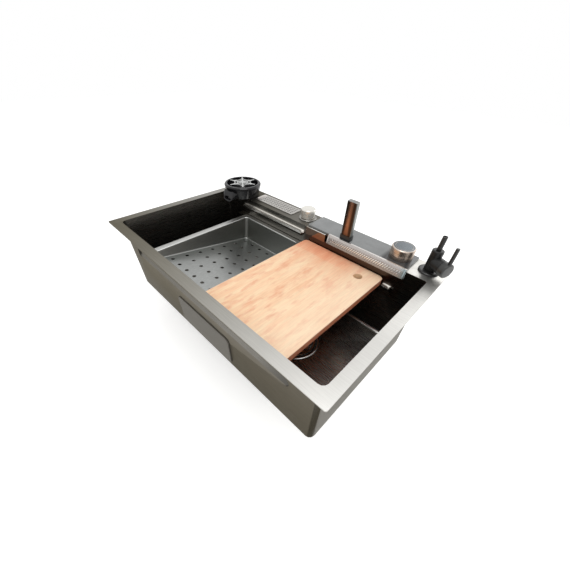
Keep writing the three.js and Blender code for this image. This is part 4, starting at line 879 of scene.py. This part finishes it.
def makeRinser():
    r = rinserShape
    top, foot, wide, floor = r["top"], r["foot"], r["topRadius"], r["floor"]
    boss, bossTop = r["boss"]
    bore, boreFoot = r["bore"]
    dish = lathe([
        (0, foot), (r["footRadius"], foot, 1.5), (wide - 2, top - 14, 3), (wide, top - 7, 2),
        (wide, top - 3, 1.2), (wide - 3, top, 1.2), (r["cavity"], top, 0.6), (r["cavity"], top - 10, 2),
        (r["cavityFoot"], floor, 3), (boss, floor, 0.5), (boss, bossTop, 0.4), (bore, bossTop, 0.3),
        (bore, boreFoot), (0, boreFoot)], r["x"], r["y"])
    nose = bmesh.new()
    loops = []
    for index, (reach, half, low, high) in enumerate(r["nose"]):
        made = bmesh.ops.create_circle(nose, cap_ends=False, segments=32, radius=1)["verts"]
        for vert in made:
            across, up = (math.copysign(abs(part) ** r["squareness"], part) for part in vert.co.xy)
            x = half * across
            z = (low + high) / 2 + (high - low) / 2 * up
            back = reach - math.sqrt(max(r["rootRadius"] ** 2 - x * x, 0)) if index == 0 else 0
            vert.co = (r["x"] + x, r["y"] - reach + back + vert.co.y * r["lean"] * index, z)
        loops.append(list({line for vert in made for line in vert.link_edges}))
    for near, far in zip(loops, loops[1:]):
        bmesh.ops.bridge_loops(nose, edges=near + far)
    ends = [line for line in nose.edges if line.is_boundary]
    caps = bmesh.ops.holes_fill(nose, edges=ends, sides=0)["faces"]
    lip = min(caps, key=lambda face: face.calc_center_median().y)
    bmesh.ops.recalc_face_normals(nose, faces=nose.faces)
    rim, depth = r["mouth"]
    bmesh.ops.inset_region(nose, faces=[lip], thickness=rim, use_even_offset=True)
    inward = -lip.normal.normalized() * depth
    out = bmesh.ops.extrude_discrete_faces(nose, faces=[lip])["faces"]
    bmesh.ops.translate(nose, vec=inward, verts=out[0].verts[:])
    addNode("rinser_pan", joined(dish, nose), edge=0.5, sharp=40)


starShape = {
    "x": -290, "y": 171, "turn": 22, "reach": 45, "arm": 4.2, "z": (37.3, 40.3), "hub": 8, "hubTop": 41.8,
    "stem": (4.5, 17.3), "arms": 6, "webs": ((48.1, 24.1), (30, 15)), "webHalf": 1.4, "webInset": 0.4,
    "webArc": 120,
}


def makeStar():
    s = starShape
    low, high = s["z"]
    hub, hubTop = s["hub"], s["hubTop"]
    stem, stemFoot = s["stem"]
    sector = 360 / s["arms"]
    parts = [lathe([(0, hubTop), (hub - 2.5, hubTop, 0.8), (hub, high, 0.5), (hub, low - 4, 0.3),
                    (stem, low - 4), (stem, stemFoot), (0, stemFoot)], steps=48)]
    for arm in range(s["arms"] // 2):
        bar = block(-s["reach"], s["reach"], -s["arm"] / 2, s["arm"] / 2, low, high)
        roundEdges(bar, lambda line: abs(line.verts[0].co.x - line.verts[1].co.x) > s["reach"]
                   and line.verts[0].co.z > low + 1, 0.9, 3)
        parts.append(placed(bar, turned(sector * arm)))
    bottom, top = low + s["webInset"], high - s["webInset"]
    for side in range(s["arms"]):
        for centre, radius in s["webs"]:
            inner, outer = radius - s["webHalf"], radius + s["webHalf"]
            arc = lathe([(inner, bottom), (outer, bottom), (outer, top, 0.5), (inner, top, 0.5)],
                        steps=20, angle=math.radians(s["webArc"]))
            hollow = turned(180 - s["webArc"] / 2)
            turn = turned(sector * (side + 0.5)) @ Matrix.Translation((centre, 0, 0)) @ hollow
            parts.append(placed(arc, turn))
    star = placed(joined(*parts), Matrix.Translation((s["x"], s["y"], 0)) @ turned(s["turn"]))
    addNode("rinser_star", star, edge=0.2)


springShape = {"radius": 5.9, "wire": 0.5, "z": (23.4, 32.2), "turns": 4, "turnSteps": 28, "travel": 4.0}


def makeSpring():
    s = springShape
    x, y = starShape["x"], starShape["y"]
    bm = bmesh.new()
    bmesh.ops.create_circle(bm, cap_ends=True, segments=8, radius=s["wire"])
    low, high = s["z"][0] + s["wire"], s["z"][1] - s["wire"]
    placed(bm, Matrix.Translation((s["radius"], 0, low)) @ turned(90, "X"))
    steps = s["turnSteps"] * s["turns"]
    bmesh.ops.spin(bm, geom=bm.verts[:] + bm.edges[:] + bm.faces[:], cent=(0, 0, 0), axis=(0, 0, 1),
                   dvec=(0, 0, (high - low) / steps), angle=math.tau * s["turns"], steps=steps,
                   use_merge=False, use_duplicate=False)
    bmesh.ops.remove_doubles(bm, verts=bm.verts, dist=0.0001)
    bmesh.ops.recalc_face_normals(bm, faces=bm.faces)
    bmesh.ops.translate(bm, vec=(x, y, 0), verts=bm.verts)
    spring = addNode("rinser_spring", bm)
    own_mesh(spring)


grateShape = {
    "x": (-229, -70), "y": (172, 219), "z": (3.3, 5.3), "corner": 3, "first": (-208.3, 180.7),
    "pitch": (11.6, 7.4), "count": (12, 5), "cell": (4.9, 2.6), "slot": (7.5, 2.8),
    "lip": ((-229, 4.9), (-220, 4.9), (-223.5, 7.4), (-227, 7.9), (-229, 6.8)), "lipY": (178, 213),
    "lipRound": 0.45, "lugs": {"inset": (5.8, 8.2), "z": (0.5, 3.8)},
}


def spots(first, pitch, count):
    return [first + pitch * i for i in range(count)]


def makeGrate():
    g = grateShape
    columns, rows = (spots(*values) for values in zip(g["first"], g["pitch"], g["count"]))
    long, wide = g["slot"]
    plate = perforated(g["x"], g["y"], columns, rows, g["cell"], wide / 2, longX=(long - wide) / 2)
    roundCorners(plate, g["corner"])
    bmesh.ops.translate(plate, vec=(0, 0, g["z"][1]), verts=plate.verts)
    addNode("deck_grate", plate, edge=0.25, sheet=g["z"][1] - g["z"][0])
    front, rear = g["lipY"]
    lip = prism([(x, front, z) for x, z in g["lip"]], (0, rear - front, 0))
    roundEdges(lip, lambda line: line.calc_face_angle(0) > 0.4, g["lipRound"], 3)
    outer, inner = g["lugs"]["inset"]
    (left, right), (front, rear) = g["x"], g["y"]
    rails = []
    for y0, y1 in ((front + outer, front + inner), (rear - inner, rear - outer)):
        rails.append(block(left + outer, right - outer, y0, y1, *g["lugs"]["z"]))
    for x0, x1 in ((left + outer, left + inner), (right - inner, right - outer)):
        rails.append(block(x0, x1, front + outer, rear - outer, *g["lugs"]["z"]))
    lipPiece = addPiece("grate_finger_lip", joined(lip, *rails), "bar_steel", "grate_body")
    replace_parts(lipPiece, "deck_grate")


colanderShape = {
    "floorX": (-236, -14), "floorY": (-185, 128), "wallX": (-240, -10), "wallY": (-189, 139),
    "flangeX": (-257, 7), "flangeY": (-203, 153), "flangeZ": -50.5, "frontZ": -69.5, "fall": 54, "run": 328,
    "first": (-216, -150), "pitch": (36.4, 42.667), "count": (6, 7), "cell": (9, 9), "hole": 5, "corner": 10,
    "border": 12, "fold": 3.0, "sheet": 1.2,
}


def stretched(value, fromSpan, toSpan):
    share = (value - fromSpan[0]) / (fromSpan[1] - fromSpan[0])
    return toSpan[0] + share * (toSpan[1] - toSpan[0])


def makeColander():
    c = colanderShape
    columns, rows = (spots(*values) for values in zip(c["first"], c["pitch"], c["count"]))
    bm = perforated(c["floorX"], c["floorY"], columns, rows, c["cell"], c["hole"])
    roundCorners(bm, c["corner"])
    (x0, x1), (y0, y1), border = c["floorX"], c["floorY"], c["border"]

    def isRim(line):
        middle = (line.verts[0].co + line.verts[1].co) / 2
        inside = x0 + border < middle.x < x1 - border and y0 + border < middle.y < y1 - border
        return line.is_boundary and not inside

    rim = [line for line in bm.edges if isRim(line)]
    for vert in bm.verts:
        vert.co.z = c["frontZ"] - c["fall"] * (vert.co.y - c["wallY"][0]) / c["run"]
    fromX, fromY, z = c["floorX"], c["floorY"], c["flangeZ"]
    for toX, toY in ((c["wallX"], c["wallY"]), (c["flangeX"], c["flangeY"])):
        rim = drawnOut(bm, rim, lambda at: (stretched(at.x, fromX, toX), stretched(at.y, fromY, toY), z))
        fromX, fromY = toX, toY
    faceUp(bm)
    roundEdges(bm, lambda line: not line.is_boundary and line.calc_face_angle(0) > 0.9, c["fold"])
    addNode("colander", bm, edge=0.2, sheet=c["sheet"])


boardShape = {
    "x": (10.5, 260.5), "y": (-203, 153), "z": (-51.7, -34.2), "corner": 12, "round": 1.6,
    "hole": (213, 111), "holeRadius": 11, "holeCell": (18, 18),
}


def makeBoard():
    b = boardShape
    x, y = b["hole"]
    low, high = b["z"]
    bm = perforated(b["x"], b["y"], [x], [y], b["holeCell"], b["holeRadius"])
    roundCorners(bm, b["corner"], 8)
    long = [line for line in bm.edges if not line.is_boundary and line.calc_length() > 100]
    bmesh.ops.subdivide_edges(bm, edges=long, cuts=3, use_grid_fill=True)
    bmesh.ops.translate(bm, vec=(0, 0, high), verts=bm.verts)
    piece = addNode("cutting_board", bm, sheet=high - low)
    softenEdges(piece, b["round"] * mm, segments=4)


barShape = {
    "x": (88.3, 297.7), "foot": (145.5, -13), "head": (151.5, 8), "first": 98, "last": 288, "count": 32,
    "slant": 0.6, "cell": (2.35, 5.2), "slotRadius": 1.6, "slotReach": 2.7, "skin": 0.6, "topAbove": 9,
    "section": ((153, 9.5), (157.5, 9.5), (157.5, -14), (147, -14), (145.5, -13)),
    "strip": {"behind": 0.8, "thick": 1.6, "v": (2.5, 19.5), "x": (92, 294)},
}


def makeRainBar():
    b = barShape
    (left, right), (footY, footZ), (headY, headZ) = b["x"], b["foot"], b["head"]
    rise = math.hypot(headY - footY, headZ - footZ)
    columns = spots(b["first"], (b["last"] - b["first"]) / (b["count"] - 1), b["count"])
    bm = perforated(b["x"], (0, rise), columns, [rise / 2], b["cell"], b["slotRadius"], longY=b["slotReach"])
    along = ((headY - footY) / rise, (headZ - footZ) / rise)
    for vert in bm.verts:
        u, v = vert.co.x, vert.co.y
        if abs(v - rise / 2) < b["cell"][1] + 0.1 and left + 1 < u < right - 1:
            u += math.tan(b["slant"]) * (v - rise / 2)
        vert.co = (u, footY + v * along[0], footZ + v * along[1])
    rim = [line for line in bm.edges if line.is_boundary and min(v.co.z for v in line.verts) > headZ - 0.1]
    for y, z in b["section"]:
        rim = drawnOut(bm, rim, lambda at: (at.x, y, z))
    bmesh.ops.remove_doubles(bm, verts=bm.verts, dist=0.01)
    faceUp(bm, b["topAbove"])
    addNode("rain_bar", bm, edge=0.25, sheet=b["skin"])
    p = b["strip"]
    (y0, z0), (y1, z1) = ((footY + v * along[0] + p["behind"], footZ + v * along[1]) for v in p["v"])
    x0, x1 = p["x"]
    plate = prism([(x0, y0, z0), (x0, y1, z1), (x0, y1 + p["thick"], z1), (x0, y0 + p["thick"], z0)],
                  (x1 - x0, 0, 0))
    roundEdges(plate, lambda line: True, 0.2, 2)
    strip = addPiece("rain_bar_nozzle_strip", plate, "grey_plastic", "sink")
    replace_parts(strip, "rain_bar")


tapShape = {
    "x": 335.5, "y": 197.5, "flange": (23, 3.3, 7.3), "flangeBore": 8.3, "body": (12.5, 7.6, 57),
    "spoutBore": 4.5, "shankBore": 5.3, "valveZ": 28, "turn": -24, "barrel": (15.5, 27),
    "cap": (16.5, 27.3, 42), "rod": (3.9, 44.8, 81), "along": 37, "spout": (5.2, 3.7, 45, 57.3, 88),
}


def makeTap():
    t = tapShape
    x, y, bore, shank = t["x"], t["y"], t["spoutBore"], t["shankBore"]
    r, low, high = t["flange"]
    addNode("tap_flange", lathe([(t["flangeBore"], high), (r - 3, high, 0.6), (r, high - 1.6, 0.8),
                                 (r, low, 0.2), (t["flangeBore"], low)], x, y))
    level = Matrix.Translation((x, y, t["valveZ"])) @ turned(t["turn"]) @ turned(90, "Y")
    r, low, high = t["body"]
    barrelR, barrelEnd = t["barrel"]
    post = lathe([(bore, high), (r - 2.6, high, 0.3), (r - 0.5, high - 1.0, 0.3), (r, high - 3.0, 0.3),
                  (r, low, 0.3), (shank, low), (shank, low + 10), (bore, low + 12)], x, y)
    barrel = placed(lathe([(0, 3), (barrelR - 3, 3), (barrelR, 5, 0.5), (barrelR, barrelEnd, 0.3),
                           (0, barrelEnd)]), level)
    addNode("tap_body", joined(post, barrel))
    r, low, high = t["cap"]
    addNode("tap_lever_cap", placed(lathe([(0, low), (r - 0.8, low, 0.2), (r, low + 0.8, 0.2),
                                           (r, high - 2.0, 0.6), (r - 2.2, high, 0.4), (0, high)]), level))
    r, low, high = t["rod"]
    turn = math.radians(t["turn"])
    addNode("tap_lever_rod", lathe([
        (0, low), (r, low, 0.2), (r, high - 0.8, 0.3), (r - 0.9, high, 0.2), (0, high)],
        x + t["along"] * math.cos(turn), y + t["along"] * math.sin(turn), steps=40))
    r, inner, foot, low, high = t["spout"]
    addNode("tap_spout", lathe([(0, foot), (r - 1, foot), (r - 1, low), (r, low, 0.2), (r, high, 0.35),
                                (inner, high, 0.35), (inner, low), (0, low)], x, y, steps=48))


drainShape = {
    "x": 151, "y": -29, "flange": (66, -209.7, -207.7), "bore": 54.5, "neck": 56, "cupFloor": -239.7,
    "spigot": (22, 19.5, -265.7), "basketTop": -210.2, "basketFloor": -234.6, "mouth": 53.5, "cup": 49,
    "basketSheet": 1.2, "basketRound": 1.6, "post": 6, "knob": (13, -207.7), "pin": (4, -257.7),
    "slotRing": (27, 37), "slots": 12, "barSteps": 3,
}


def makeDrain():
    d = drainShape
    x, y = d["x"], d["y"]
    reach, low, high = d["flange"]
    bore, floor, neck = d["bore"], d["cupFloor"], d["neck"]
    outer, inner, end = d["spigot"]
    addNode("strainer_body", lathe([
        (inner, end), (outer, end, 0.3), (outer, floor - 2, 1), (bore - 10, floor, 1), (neck, floor + 10, 1),
        (neck, low), (reach, low, 0.1), (reach, high - 1.2, 0.3), (reach - 2.2, high, 0.6),
        (bore + 6, high, 1.5), (bore, high - 3.0, 1.2), (bore, floor + 11, 1), (bore - 10, floor + 1.5, 1),
        (inner, floor + 1.5, 0.4)], x, y))
    sheet, corner, wall = d["basketSheet"], d["basketRound"], d["cup"] - d["basketSheet"]
    top, bottom = d["basketTop"], d["basketFloor"] + sheet
    slotFrom, slotTo = d["slotRing"]
    cup = lathe([(d["post"] - 1, bottom), (slotFrom, bottom), (slotTo, bottom),
                 (d["cup"] - 10, bottom, corner), (wall, bottom + 9.3, corner), (wall, top, corner),
                 (d["mouth"], top)], closed=False)
    faceUp(cup)
    share = roundSteps // d["slots"]
    slotFaces = []
    for face in cup.faces:
        c = face.calc_center_median()
        step = int((math.degrees(math.atan2(c.y, c.x)) % 360) / (360 / roundSteps))
        onRing = slotFrom < math.hypot(c.x, c.y) < slotTo and c.z < bottom + 0.5
        if onRing and step % share < share - d["barSteps"]:
            slotFaces.append(face)
    bmesh.ops.delete(cup, geom=slotFaces, context="FACES")
    bmesh.ops.translate(cup, vec=(x, y, 0), verts=cup.verts)
    piece = addPiece("basket_cup", cup, "polished_steel", "basket_body")
    thickenSheet(piece, sheet)
    softenEdges(piece, 0.2 * mm)
    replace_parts(piece, "strainer_basket")
    knob, knobTop = d["knob"]
    pin, pinEnd = d["pin"]
    post = d["post"]
    addNode("strainer_basket", lathe([
        (0, knobTop), (knob - 3, knobTop, 0.5), (knob, knobTop - 1.5, 0.5), (knob, knobTop - 4.6, 0.5),
        (post + 1, knobTop - 7.5, 1), (post, bottom + 3, 1), (post + 2.5, bottom + 0.1, 0.3),
        (pin, bottom - 1.1), (pin, pinEnd + 1, 0.2), (pin - 1, pinEnd, 0.2), (0, pinEnd)], x, y, steps=64))


makeKnobs()
makeRinser()
makeStar()
makeSpring()
makeGrate()
makeColander()
makeBoard()
makeRainBar()
makeTap()
makeDrain()
print("round, perforated and turned pieces made")

plainEdge = 0.3
edgeOf = {"sink_bowl": 0.4, "panel_glass": 0.5, "waterfall_outlet": 0.5, "panel_gasket": 0,
          "rim_sealing_tape": 0}
shown = {name for piece in bpy.data.objects for name in piece.get("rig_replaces", [])}
for node in frame["nodes"]:
    if node not in shown:
        smoothCopy(node, edgeOf.get(node, plainEdge) * mm)
print("plain pieces made:", len(frame["nodes"]) - len(shown))
